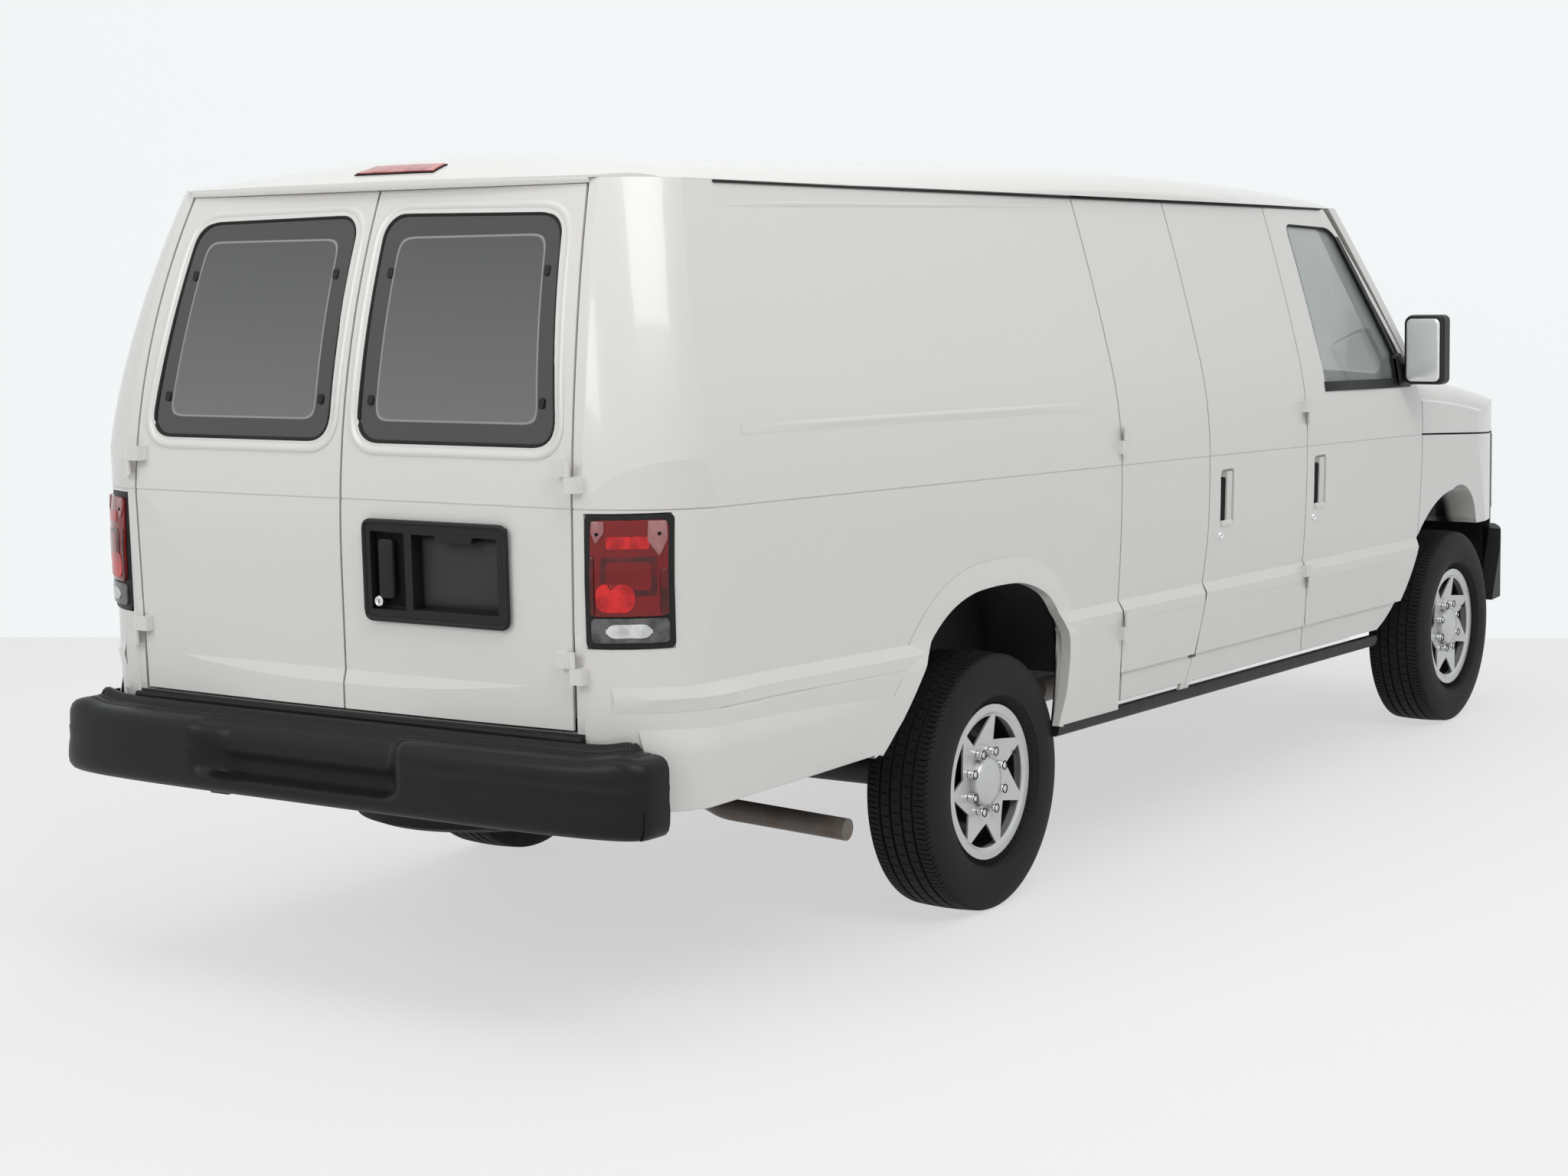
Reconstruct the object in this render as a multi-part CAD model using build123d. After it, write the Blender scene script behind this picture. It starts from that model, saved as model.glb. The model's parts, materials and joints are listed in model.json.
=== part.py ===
from build123d import *
import os
from math import copysign, cos, hypot, radians, sin

os.makedirs("parts", exist_ok=True)

# Extended full-size panel van.  Millimetres; X forward, Y to the driver's side, Z up.
# The origin is on the ground, midway between the faces of the two bumpers.

# ---------------------------------------------------------------- driving dimensions
LENGTH = 6012              # bumper face to bumper face
WHEELBASE = 3505
REAR_OVERHANG = 1760       # rear axle to rear bumper face
HALF_WIDTH = 1003          # widest point of the body, at the belt
ROOF_TOP = 2150
RAKE = 0.022               # fall of the body per millimetre forward
WALL = 45                  # whole thickness of a wall or door
SKIN = 8                   # outer layer of a door, out to its shut line
GAP = 7                    # shut line between panels
FLANGE = 22                # set-back of a door's inner layer from its outer one

SEAT = 0.3                 # gap between two parts that bear on each other
SILL_Z = 465               # heights of the side section, measured at X = 0
CREASE_LOW_Z = 738
CREASE_TOP_Z = 800
BELT_Z = 1220
SHOULDER_Z = 1529
GUTTER_Z = 2018
SILL_TUCK = 18             # how far each line lies inside the widest point
CREASE_TUCK = 18
SHOULDER_TUCK = 38
GUTTER_TUCK = 171
GUTTER_LIP = 18
CROWN_DROP = 45            # roof falls this much from the middle to the shoulder line
CROWN_HALF = 740
SHOULDER_DROP = 110

REAR_FACE_X = -2870        # tail above the crease
TAIL_BULGE = 10            # tail below the crease stands this far behind it
TAIL_CREASE_Z = 828
TAIL_LEAN_Z = 1150         # the tail starts to lean forward here
TAIL_TOP_X = -2665
TAIL_TOP_Z = 2076
CORNER_EASE = 6            # the leaning corner starts this far outside the upright one, so that it fades in
CORNER_STATIONS = (1300, 1480, 1660, 1840, 2020, 2200)
NOSE_X = 2960

REAR_DOOR_SILL_Z = 760
REAR_DOOR_LOW_HALF = 736
REAR_DOOR_BELT_HALF = 748
REAR_DOOR_TOP_HALF = 673
SIDE_DOOR_REAR_X = -546
SIDE_DOOR_SPLIT_X = 58
SIDE_DOOR_SPLIT_LOW_X = -90
PILLAR_X = 818             # seam between side door and front door
FRONT_DOOR_X = 1869        # seam between front door, fender and hood
SCREEN_FOOT = (1892, 1346)     # side edge of the windscreen surface, in X and Z
SCREEN_HEAD = (1422, 1971)
SCREEN_BOW = 148           # how far the middle of the windscreen stands ahead of its edges
SCREEN_HALF = 930

TYRE_RADIUS = 372
TYRE_WIDTH = 225
DISC_FACE = 22             # where a wheel's disc bears on its hub, from the wheel's middle plane
RIM_RADIUS = 203           # bead seat of a 16 inch rim
COVER_RADIUS = 223
COVER_FACE = 88            # outer face of the wheel cover from the wheel's middle plane
FRONT_TRACK = 1763
REAR_TRACK = 1702

FLOOR_Z = 685              # top of the load floor at X = 0
FLOOR_THICK = 30
RAIL_Y = 430
RAIL_WIDTH = 65
RAIL_DEPTH = 150
MOUNT_HEIGHT = 25          # rubber body mounts between frame and floor
SLIP = 0.4                 # running clearance of a turning fit

# ---------------------------------------------------------------- what follows from them
REAR_AXLE_X = REAR_OVERHANG - LENGTH / 2
FRONT_AXLE_X = REAR_AXLE_X + WHEELBASE
REAR_BUMPER_X = -LENGTH / 2
FRONT_BUMPER_X = LENGTH / 2
ROOF_BASE_Z = GUTTER_Z + GAP / 2
FAR = LENGTH               # long enough to cut right through the body
RIGHT = -1
LEFT = 1


# ---------------------------------------------------------------- drawing helpers
def chain(*steps):
    """Edges of an outline: a step is a point to run straight to, or (via, point) for an arc."""
    edges = []
    here = steps[0]
    for step in steps[1:]:
        if isinstance(step[0], tuple):
            via, there = step
            edges.append(ThreePointArc(here, via, there))
        else:
            there = step
            edges.append(Line(here, there))
        here = there
    return edges


def loop(*steps):
    """Closed face from an outline whose last straight side is implied."""
    return make_face(chain(*steps, steps[0]))


def twin(*steps):
    """Face made of an outline that starts and ends on the middle line, and its mirror image."""
    half = chain(*steps)
    return make_face(half + [edge.mirror(Plane.YZ) for edge in half])


def rounded(face, radius):
    return fillet(face.vertices(), radius)


def polar(radius, angle):
    return (radius * cos(radians(angle)), radius * sin(radians(angle)))


def box(x0, x1, y0, y1, z0, z1):
    return Pos((x0 + x1) / 2, (y0 + y1) / 2, (z0 + z1) / 2) * Box(x1 - x0, y1 - y0, z1 - z0)


def along_x(face, x0, x1, slope=0.0):
    """Push a YZ face, drawn as it is at X = 0, along X while it falls by the slope."""
    way = Vector(1, 0, -slope)
    start = Pos(x0, 0, -slope * x0) * (Plane.YZ * face)
    return extrude(start, amount=(x1 - x0) * way.length, dir=way)


def across(face, y0, y1):
    """Push an XZ face across the vehicle from y0 to y1."""
    return extrude(Pos(0, y1, 0) * (Plane.XZ * face), amount=y1 - y0)


def up(face, z0, z1):
    return extrude(Pos(0, 0, z0) * face, amount=z1 - z0)


def rod(start, end, radius):
    """Round bar between two points."""
    start, end = Vector(*start), Vector(*end)
    plane = Plane(origin=start, z_dir=end - start)
    return extrude(plane * Circle(radius), amount=(end - start).length)


def raked(z, x):
    """Height at station x of a body line that lies at z over the origin."""
    return z - RAKE * x


def sides(shape):
    """The shape and its mirror image on the other side of the van."""
    return [shape, mirror(shape, Plane.XZ)]


def node(name, *shapes):
    solids = []
    for shape in shapes:
        solids.extend(shape.solids())
    part = solids[0] if len(solids) == 1 else Compound(children=solids)
    part.label = name
    export_step(part, f"parts/{name}.step")


# ---------------------------------------------------------------- body surfaces
def section(inset, low=SILL_Z):
    """Cross-section of the body, set in by the given depth."""
    w = HALF_WIDTH - inset
    half_z = (SHOULDER_Z + BELT_Z) / 2
    # the tumblehome starts upright at the belt and leans evenly into the shoulder
    via = (w - SHOULDER_TUCK * 0.25, half_z)
    return twin(
        (0, low), (w - SILL_TUCK, low), (w, CREASE_LOW_Z), (w - CREASE_TUCK, CREASE_TOP_Z),
        ((w - CREASE_TUCK * 0.25, (CREASE_TOP_Z + BELT_Z) / 2), (w, BELT_Z)),
        (via, (w - SHOULDER_TUCK, SHOULDER_Z)),
        ((w - (SHOULDER_TUCK + GUTTER_TUCK) / 2 + 4, (SHOULDER_Z + GUTTER_Z) / 2),
         (w - GUTTER_TUCK, GUTTER_Z)),
        (w - GUTTER_TUCK, ROOF_TOP + 100), (0, ROOF_TOP + 100))


def tail_profile(inset):
    """Side view of everything ahead of the tail, out to beyond the nose."""
    x = REAR_FACE_X + inset
    lean = TAIL_TOP_X - REAR_FACE_X
    return loop(
        (x - TAIL_BULGE, 0), (x - TAIL_BULGE, TAIL_CREASE_Z), (x, TAIL_CREASE_Z + 35),
        (x, TAIL_LEAN_Z), ((x + lean * 0.25, (TAIL_LEAN_Z + TAIL_TOP_Z) / 2), (x + lean, TAIL_TOP_Z)),
        (x + lean * 1.5, TAIL_TOP_Z + 200), (FAR, TAIL_TOP_Z + 200), (FAR, 0))


def plan(inset):
    """Plan view: bowed tail, rounded corners that carry the lamps, and a nose that narrows."""
    w = HALF_WIDTH - inset
    rear = REAR_FACE_X - TAIL_BULGE + inset
    nose = NOSE_X - inset
    outline = chain(
        (rear, 0), ((rear + 4, 400), (rear + 18, 781 - inset / 2)),
        ((rear + 134, 958 - inset), (rear + 320, w)),
        (FRONT_AXLE_X, w), ((NOSE_X - 360, w - 20), (NOSE_X - 100, w - 98)),
        ((NOSE_X - 30, w - 180), (nose - 12, w - 300)), ((nose - 4, 350), (nose, 0)))
    return make_face(outline + [edge.mirror(Plane.XZ) for edge in outline])


def screen_wedge(inset):
    """All that lies behind the raked, bowed windscreen surface."""
    foot_x, foot_z = SCREEN_FOOT
    head_x, head_z = SCREEN_HEAD
    lean = (foot_x - head_x) / (head_z - foot_z)
    base_z = -600
    base_x = foot_x + lean * (foot_z - base_z) - inset * hypot(1, lean)
    wide = 1500
    bow = SCREEN_BOW * (wide / SCREEN_HALF) ** 2
    face = loop(
        (base_x + SCREEN_BOW - bow, -wide), ((base_x + SCREEN_BOW, 0), (base_x + SCREEN_BOW - bow, wide)),
        (-FAR * 2, wide), (-FAR * 2, -wide))
    way = Vector(-lean, 0, 1)
    tall = 3100
    return extrude(Pos(0, 0, base_z) * face, amount=tall * way.length, dir=way)


def crown(drop):
    """All that lies under the roof's crowned top, lowered by the given drop."""
    top = ROOF_TOP - drop
    face = twin(
        (0, 900), (1100, 900), (1100, top - SHOULDER_DROP - 190), (HALF_WIDTH - GUTTER_TUCK + 18, top - SHOULDER_DROP),
        ((800, top - CROWN_DROP - 22), (CROWN_HALF, top - CROWN_DROP)),
        ((CROWN_HALF / 2, top - CROWN_DROP * 0.25), (0, top)))
    turn_x = -600
    radius = 23500
    flat = extrude(Pos(-3000, 0, 0) * (Plane.YZ * face), amount=turn_x + 3000)
    pivot = Axis((turn_x, 0, top - radius), (0, 1, 0))
    bend = revolve(Pos(turn_x, 0, 0) * (Plane.YZ * face), pivot, revolution_arc=7)
    return flat + bend


def below(z, margin=0.0):
    """Everything under a raked body line."""
    return across(loop((-FAR, raked(z, -FAR) - margin), (FAR, raked(z, FAR) - margin), (FAR, -500), (-FAR, -500)),
                  -1500, 1500)


def above(z, margin=0.0):
    return across(loop((-FAR, raked(z, -FAR) + margin), (FAR, raked(z, FAR) + margin), (FAR, 4000), (-FAR, 4000)),
                  -1500, 1500)


def side_layer(depth, thickness, x0, x1, low=SILL_Z):
    """Right-hand side of the body between two depths under its surface, below the gutter."""
    layer = along_x(section(depth, low), x0, x1, RAKE) - along_x(section(depth + thickness, -400), x0 - 1, x1 + 1, RAKE)
    return layer & (box(x0, x1, -1500, -500, -100, 2600) & below(ROOF_BASE_Z, SEAT))


def tumblehome(s):
    """How far the side lies inside its widest point at a height above the belt, measured at X = 0."""
    low = min(max(s - BELT_Z, 0) / (SHOULDER_Z - BELT_Z), 1)
    high = max(s - SHOULDER_Z, 0) / (GUTTER_Z - SHOULDER_Z)
    return SHOULDER_TUCK * low ** 2 + (GUTTER_TUCK - SHOULDER_TUCK) * (0.88 * high + 0.12 * high ** 2)


def corner_outline(inset, z):
    """What the rounded rear corner leaves out at one height, where the tail leans and the side tumbles home."""
    rise = max(z - TAIL_LEAN_Z, 0) / (TAIL_TOP_Z - TAIL_LEAN_Z)
    doorway = max(z - 1290, 0) / 779
    x = REAR_FACE_X + (TAIL_TOP_X - REAR_FACE_X) * rise ** 2 + 8 + inset
    y = REAR_DOOR_BELT_HALF + 33 - 5 * doorway - 70 * doorway ** 2 - inset / 2
    side = HALF_WIDTH - tumblehome(z - 2450 * RAKE) - inset
    reach = 272
    start = (x - CORNER_EASE, y + 2)
    via = (x + reach * 0.38 - CORNER_EASE, y + (side - y) * 0.785 + CORNER_EASE)
    end = (x + reach, side + CORNER_EASE / 2)
    return Pos(0, 0, z) * loop(
        (x - 60, y - 125), start, (via, end), (x + reach + 320, side + 50), (x + reach + 320, 1400), (x - 200, 1400),
        (x - 200, y - 125))


def tail_solid(depth):
    """Everything inside the tail's surface, set in by the given depth, with its corners rounded up to the roof."""
    waste = loft([corner_outline(depth, z) for z in CORNER_STATIONS])
    solid = across(tail_profile(depth), -1500, 1500) & up(plan(depth), -200, 2600)
    return solid - waste - mirror(waste, Plane.XZ)


def tail_layer(depth, thickness):
    return (tail_solid(depth) - tail_solid(depth + thickness)) & box(-3100, -2500, -1500, 1500, 0, 2300)


def rear_hull(depth, low=SILL_Z):
    """The rear half of the body as a solid, sides and tail together."""
    return along_x(section(depth, low), -3000, 900, RAKE) & tail_solid(depth)


# ---------------------------------------------------------------- side view outlines
RIGHT_SIDE = (-1500, -500)
LEFT_SIDE = (500, 1500)
HINGE_SEAM_X = FRONT_DOOR_X
PILLAR_LEAN = (SCREEN_FOOT[0] - SCREEN_HEAD[0]) / (SCREEN_HEAD[1] - SCREEN_FOOT[1])
DOOR_PILLAR_SETBACK = 69   # from the windscreen's side edge back to the front door's edge
LINER = 8                  # wall of a front wheel's inner arch
FRONT_ARCH_FOOT = (1500, 465)
FRONT_ARCH_CREASE = (1850, 745)
FRONT_ARCH_TOP = (2200, 912)
FRONT_ARCH_NOSE = (2473, 776)
FENDER_FOOT_Z = 755
REAR_ARCH_FOOT = (-1890, 560)
REAR_ARCH_CREASE = (-1660, 828)
REAR_ARCH_TOP = (-1290, 946)
REAR_ARCH_NOSE = (-884, 760)
REAR_ARCH_FRONT_FOOT = (-925, 450)
QUARTER_FOOT_Z = 568

front_arch = loop(
    (1400, 300), FRONT_ARCH_FOOT, ((1735, 580), FRONT_ARCH_CREASE), ((1990, 855), FRONT_ARCH_TOP),
    ((2400, 880), FRONT_ARCH_NOSE), (2490, FENDER_FOOT_Z), (2820, FENDER_FOOT_Z - 5), (2820, 300))
rear_arch = loop(
    (-3000, 300), (-3000, QUARTER_FOOT_Z), (REAR_ARCH_FOOT[0] - 20, QUARTER_FOOT_Z), REAR_ARCH_FOOT,
    ((-1755, 690), REAR_ARCH_CREASE), ((-1500, 920), REAR_ARCH_TOP), ((-970, 890), REAR_ARCH_NOSE),
    ((-895, 620), REAR_ARCH_FRONT_FOOT), (REAR_ARCH_FRONT_FOOT[0], 300))


def belt(x):
    """Height of the seam that runs round the body at the belt."""
    return 1207 - 0.0316 * x if x < HINGE_SEAM_X else belt(HINGE_SEAM_X - 1) - 0.062 * (x - HINGE_SEAM_X)


def gutter(x):
    return raked(GUTTER_Z, x)


def pillar_line(x):
    """Height of the front door's sloping edge beside the windscreen."""
    return SCREEN_FOOT[1] + (SCREEN_FOOT[0] - DOOR_PILLAR_SETBACK - x) / PILLAR_LEAN


def front_door_outline():
    top_x = 1340
    top_x = SCREEN_FOOT[0] - DOOR_PILLAR_SETBACK - (gutter(top_x) - SCREEN_FOOT[1]) * PILLAR_LEAN
    sill = raked(SILL_Z, PILLAR_X)
    return loop(
        (PILLAR_X, sill), (PILLAR_X, gutter(PILLAR_X)), (top_x, gutter(top_x)),
        (HINGE_SEAM_X, pillar_line(HINGE_SEAM_X)), (HINGE_SEAM_X, 765), FRONT_ARCH_CREASE,
        ((1735, 580), (1500, raked(SILL_Z, 1500))))


def side_leaf_outline(front_x, rear_x):
    """One leaf of the side doorway; the seam between the two sweeps back towards the sill."""
    low = raked(SILL_Z, 0)

    def seam(x, upward):
        if x != SIDE_DOOR_SPLIT_X:
            steps = [(x, raked(SILL_Z, x)), (x, gutter(x))]
            return steps if upward else steps[::-1]
        foot = (SIDE_DOOR_SPLIT_LOW_X, raked(SILL_Z, SIDE_DOOR_SPLIT_LOW_X))
        knee = (SIDE_DOOR_SPLIT_X, 1040)
        bend = (SIDE_DOOR_SPLIT_X - 26.5, 790)
        head = (x, gutter(x))
        return [foot, (bend, knee), head] if upward else [head, knee, (bend, foot)]

    return loop(*seam(rear_x, True), *seam(front_x, False))


def door(outline, x0, x1):
    """Right-hand leaf: an outer layer out to the shut line and a set-back inner layer behind it."""
    skin = side_layer(0, SKIN, x0, x1) & across(offset(outline, -GAP / 2, kind=Kind.INTERSECTION), *RIGHT_SIDE)
    inside = offset(outline, -GAP / 2 - FLANGE, kind=Kind.INTERSECTION)
    return skin + (side_layer(SKIN, WALL - SKIN, x0, x1) & across(inside, *RIGHT_SIDE))


def doorway(outline, side):
    return across(offset(outline, GAP / 2, kind=Kind.INTERSECTION), *side)


BELT_GROOVE = 2.5          # depth of the line pressed into the panels at the belt
POCKET_DEEP = 18


def belt_band():
    """Thin slab along the belt line, outside the depth of its groove."""
    half = 1.7
    ends = [(x, belt(x)) for x in (-FAR / 2, HINGE_SEAM_X - 1)]
    slab = across(loop(*[(x, z - half) for x, z in ends], *[(x, z + half) for x, z in ends[::-1]]), -1200, 1200)
    return slab - (along_x(section(BELT_GROOVE), -3000, HINGE_SEAM_X + 50, RAKE) & tail_solid(BELT_GROOVE))


belt_groove = belt_band()


def handle_pocket(x0, x1, z0, z1):
    """Recess in a right-hand door for its pull handle."""
    return side_layer(-5, 5 + POCKET_DEEP, x0 - 10, x1 + 10) & across(
        rounded(loop((x0 + 4, z0), (x0, z1), (x1 - 4, z1), (x1, z0)), 16), *RIGHT_SIDE)


# ---------------------------------------------------------------- exposed hinges
BARREL = 8                 # radius of a hinge's barrel
HINGE_HEIGHT = 78
STRAP = 9
HINGE_CLEAR = 14           # a strap meets its panel this far from the axis
SIDE_AXIS_Y = -(HALF_WIDTH + HINGE_CLEAR)
SIDE_FRONT_AXIS_X = PILLAR_X - 10
REAR_AXIS_X = REAR_FACE_X - 15
REAR_AXIS_Y = 752
SIDE_HINGE_Z = (735, 1300)
REAR_HINGE_Z = (918, 1376)


def half_height(z, upper):
    return (z + SEAT / 2, z + HINGE_HEIGHT / 2) if upper else (z - HINGE_HEIGHT / 2, z - SEAT / 2)


def barrel_at(x, y, low, high):
    return Pos(x, y, low) * Cylinder(BARREL, high - low, align=(Align.CENTER, Align.CENTER, Align.MIN))


def side_half(x, z, upper, reach):
    """Half of a hinge on the right-hand side: barrel, strap, and the foot that meets the panel."""
    low, high = half_height(z, upper)
    near, far = x + copysign(HINGE_CLEAR, reach), x + reach
    strap = box(min(x, far), max(x, far), SIDE_AXIS_Y - 4, SIDE_AXIS_Y + STRAP - 4, low, high)
    foot = box(min(near, far), max(near, far), SIDE_AXIS_Y, SIDE_AXIS_Y + 34, low, high)
    return barrel_at(x, SIDE_AXIS_Y, low, high) + strap + foot


def side_hinges(x, upper, reach):
    return side_half(x, SIDE_HINGE_Z[0], upper, reach) + side_half(x, SIDE_HINGE_Z[1], upper, reach)


def pillar_hinge(z):
    """Fixed half at the centre pillar, whose plate passes inwards through the seam."""
    low, high = half_height(z, False)
    x = SIDE_FRONT_AXIS_X
    strap = box(x, x + 9, SIDE_AXIS_Y - 4, SIDE_AXIS_Y + STRAP - 4, low, high)
    plate = box(x + 4, x + 9, SIDE_AXIS_Y - 4, -(HALF_WIDTH - WALL - GAP - 6), low, high)
    return barrel_at(x, SIDE_AXIS_Y, low, high) + strap + plate


def rear_half(z, upper, reach, deep):
    """Half of a hinge at the left edge of the tail doorway."""
    low, high = half_height(z, upper)
    near, far = REAR_AXIS_Y + copysign(HINGE_CLEAR * 1.8 if reach < 0 else HINGE_CLEAR / 2, reach), REAR_AXIS_Y + reach
    strap = box(REAR_AXIS_X - 4, REAR_AXIS_X + STRAP - 4, min(REAR_AXIS_Y, far), max(REAR_AXIS_Y, far), low, high)
    foot = box(REAR_AXIS_X, REAR_FACE_X + deep, min(near, far), max(near, far), low, high)
    return barrel_at(REAR_AXIS_X, REAR_AXIS_Y, low, high) + strap + foot


def rear_hinges(upper, reach):
    low, high = REAR_HINGE_Z
    return rear_half(low, upper, reach, 18) + rear_half(high, upper, reach, 32)


# ---------------------------------------------------------------- doors
window = rounded(loop((1000, 1362), (972, 1935), (1330, 1918), (1390, 1880), (1752, 1385), (1752, 1335)), 28)
GLASS_INSET = 12
GLASS = 5
front_outline = front_door_outline()
door_reach = (PILLAR_X - 10, FRONT_DOOR_X + 10)
front_door_right = door(front_outline, *door_reach) - across(window, *RIGHT_SIDE)
glass_right = side_layer(GLASS_INSET, GLASS, *door_reach) & across(offset(window, -0.3), *RIGHT_SIDE)
side_reach = (SIDE_DOOR_REAR_X - 10, PILLAR_X + 10)
side_front = door(side_leaf_outline(PILLAR_X, SIDE_DOOR_SPLIT_X), *side_reach)
side_front += side_hinges(SIDE_FRONT_AXIS_X, True, -32)
for hinge_z in SIDE_HINGE_Z:
    side_front -= box(SIDE_FRONT_AXIS_X - 1, PILLAR_X, -1100, -940, hinge_z - HINGE_HEIGHT / 2 - 5, hinge_z + 5)
side_rear = door(side_leaf_outline(SIDE_DOOR_SPLIT_X, SIDE_DOOR_REAR_X), *side_reach)
side_rear += side_hinges(SIDE_DOOR_REAR_X, True, 32)
front_door_right -= handle_pocket(879, 982, 958, 1143) + belt_groove
side_front -= handle_pocket(138, 242, 968, 1154) + belt_groove
side_rear -= belt_groove
node("front_door_right", front_door_right)
node("front_door_left", mirror(front_door_right, Plane.XZ))
node("door_glass_right", glass_right)
node("door_glass_left", mirror(glass_right, Plane.XZ))
node("side_door_front", side_front)
node("side_door_rear", side_rear)

# ---------------------------------------------------------------- rear doors
def rear_doorway_half(grow):
    """Half the tail opening, in Y and Z."""
    low, mid, top = REAR_DOOR_LOW_HALF + grow, REAR_DOOR_BELT_HALF + grow, REAR_DOOR_TOP_HALF + grow
    foot = REAR_DOOR_SILL_Z - grow
    head = gutter(REAR_FACE_X) - 12 + grow
    return loop((-grow, foot), (low, foot), (mid, 1290), ((mid - 22, 1700), (top, head)), (-grow, head))


def tail(face):
    """Push a YZ face through the tail wall."""
    return extrude(Pos(-3100, 0, 0) * (Plane.YZ * face), amount=700)


rear_window = rounded(loop((52, 1440), (46, 2008), (622, 1996), (694, 1440)), 60)
GLASS_LIP = 26             # the pane is seated from outside on a recessed lip
GLASS_BED = 9
rear_skin = tail_layer(0, SKIN) & tail(rear_doorway_half(-GAP / 2))
rear_lining = tail_layer(SKIN, WALL - SKIN) & tail(rear_doorway_half(-GAP / 2 - FLANGE))
rear_door_left = rear_skin + rear_lining - (tail_layer(-20, 20 + GLASS_BED) & tail(rear_window))
rear_door_left -= tail(offset(rear_window, -GLASS_LIP))
rear_door_left += rear_hinges(True, -46)
rear_door_left -= belt_groove
rear_pane = tail_layer(GLASS_BED - GLASS, GLASS) & tail(offset(rear_window, -1))
node("rear_door_left", rear_door_left)
node("rear_glass_left", rear_pane)
node("rear_glass_right", mirror(rear_pane, Plane.XZ))

# ---------------------------------------------------------------- roof, sides, pillars
def plan_twin(*steps):
    """XY face made of an outline from the middle line out to +Y, and its mirror image."""
    half = chain(*steps)
    return make_face(half + [edge.mirror(Plane.XZ) for edge in half])


roof_half = HALF_WIDTH - GUTTER_TUCK + GUTTER_LIP
roof_rear = TAIL_TOP_X - 24
roof_plan = plan_twin(
    (roof_rear, 0), ((roof_rear + 3, 350), (roof_rear + 14, 680)),
    ((roof_rear + 92, roof_half - 72), (roof_rear + 330, roof_half)), (1800, roof_half), (1800, 0))
ROOF_THICK = 30
screen_open = rounded(twin(
    (0, 1395), ((450, 1390), (868, 1372)), (745, 1962), ((400, 2004), (0, 2014))), 45)
screen_through = extrude(Pos(1000, 0, 0) * (Plane.YZ * screen_open), amount=1600)
screen_pane = extrude(Pos(1000, 0, 0) * (Plane.YZ * offset(screen_open, -1)), amount=1600)
roof = (crown(0) & up(roof_plan, 1500, 2600)) & (screen_wedge(0) & above(ROOF_BASE_Z))
roof_hollow = crown(ROOF_THICK) & up(offset(roof_plan, -GUTTER_LIP - WALL, kind=Kind.INTERSECTION), 1500, 2600)
roof -= roof_hollow & screen_wedge(WALL)
roof -= screen_through
node("roof", roof)

tail_opening = tail(rear_doorway_half(GAP / 2)) + mirror(tail(rear_doorway_half(GAP / 2)), Plane.XZ)
TAIL_SILL_HALF = REAR_DOOR_BELT_HALF + 20
side_region = box(-3100, 1470, 500, 1500, 0, 2600) & below(ROOF_BASE_Z, SEAT)
side_region -= tail_opening + box(-3100, -2600, 0, TAIL_SILL_HALF, 0, 1000)
LAMP_LOW_Z = 964
LAMP_HIGH_Z = 1288
LAMP_IN_Y = 781
LAMP_FRONT_X = -2746
LAMP_DEPTH = 30
lamp_plan = box(-3100, LAMP_FRONT_X, LAMP_IN_Y, 1100, LAMP_LOW_Z, LAMP_HIGH_Z)
lamp_pocket = lamp_plan - rear_hull(LAMP_DEPTH)
lamp_room = box(-3100, LAMP_FRONT_X - 2, LAMP_IN_Y + 2, 1100, LAMP_LOW_Z + 2, LAMP_HIGH_Z - 2)
lamp_left = (rear_hull(-6) - rear_hull(LAMP_DEPTH - 0.3)) & lamp_room


rear_shell = rear_hull(0) - rear_hull(WALL, -400)


def side_wall(front_x):
    """Fixed body side, on the left, from the tail doorway to the given station."""
    wall = rear_shell & (side_region & box(-3100, front_x, 0, 1500, 0, 2600))
    return wall - across(rear_arch, *LEFT_SIDE) - lamp_pocket - belt_groove


left_wall = side_wall(PILLAR_X - GAP / 2)
right_wall = mirror(side_wall(SIDE_DOOR_REAR_X - GAP / 2), Plane.XZ)

# frame behind the door openings: sill beam, centre pillar and cant rail, inside the doors' depth
FRAME_IN = WALL + GAP
FRAME_DEPTH = 45
SILL_TOP_Z = 610


def span(x0, x1, low, high):
    """Right-hand block between two stations and two raked heights."""
    return box(x0, x1, -1500, -500, 0, 2600) & below(high) & above(low)


def frame_piece(x0, x1, low, high):
    return side_layer(FRAME_IN, FRAME_DEPTH, x0, x1, 300) & span(x0, x1, low, high)


def joggle(x0, x1, low, high):
    """Where the inner frame laps onto the back of a fixed wall."""
    return side_layer(WALL, FRAME_DEPTH + GAP, x0, x1, 300) & span(x0, x1, low, high)


def seal_block(x0, x1, low, high):
    """Block that stands out from the frame to the back of a closed right-hand leaf."""
    return side_layer(WALL + SEAT, GAP * 2, x0, x1, 300) & span(x0, x1, low, high)


def seal_blocks(*stations):
    """Blocks near the head and the foot of the leaves at the given stations."""
    blocks = None
    for x in stations:
        for low, high in ((SILL_TOP_Z - 70, SILL_TOP_Z - 20), (GUTTER_Z - 55, GUTTER_Z - 35)):
            block = seal_block(x - 20, x + 20, low, high)
            blocks = block if blocks is None else blocks + block
    return blocks


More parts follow.
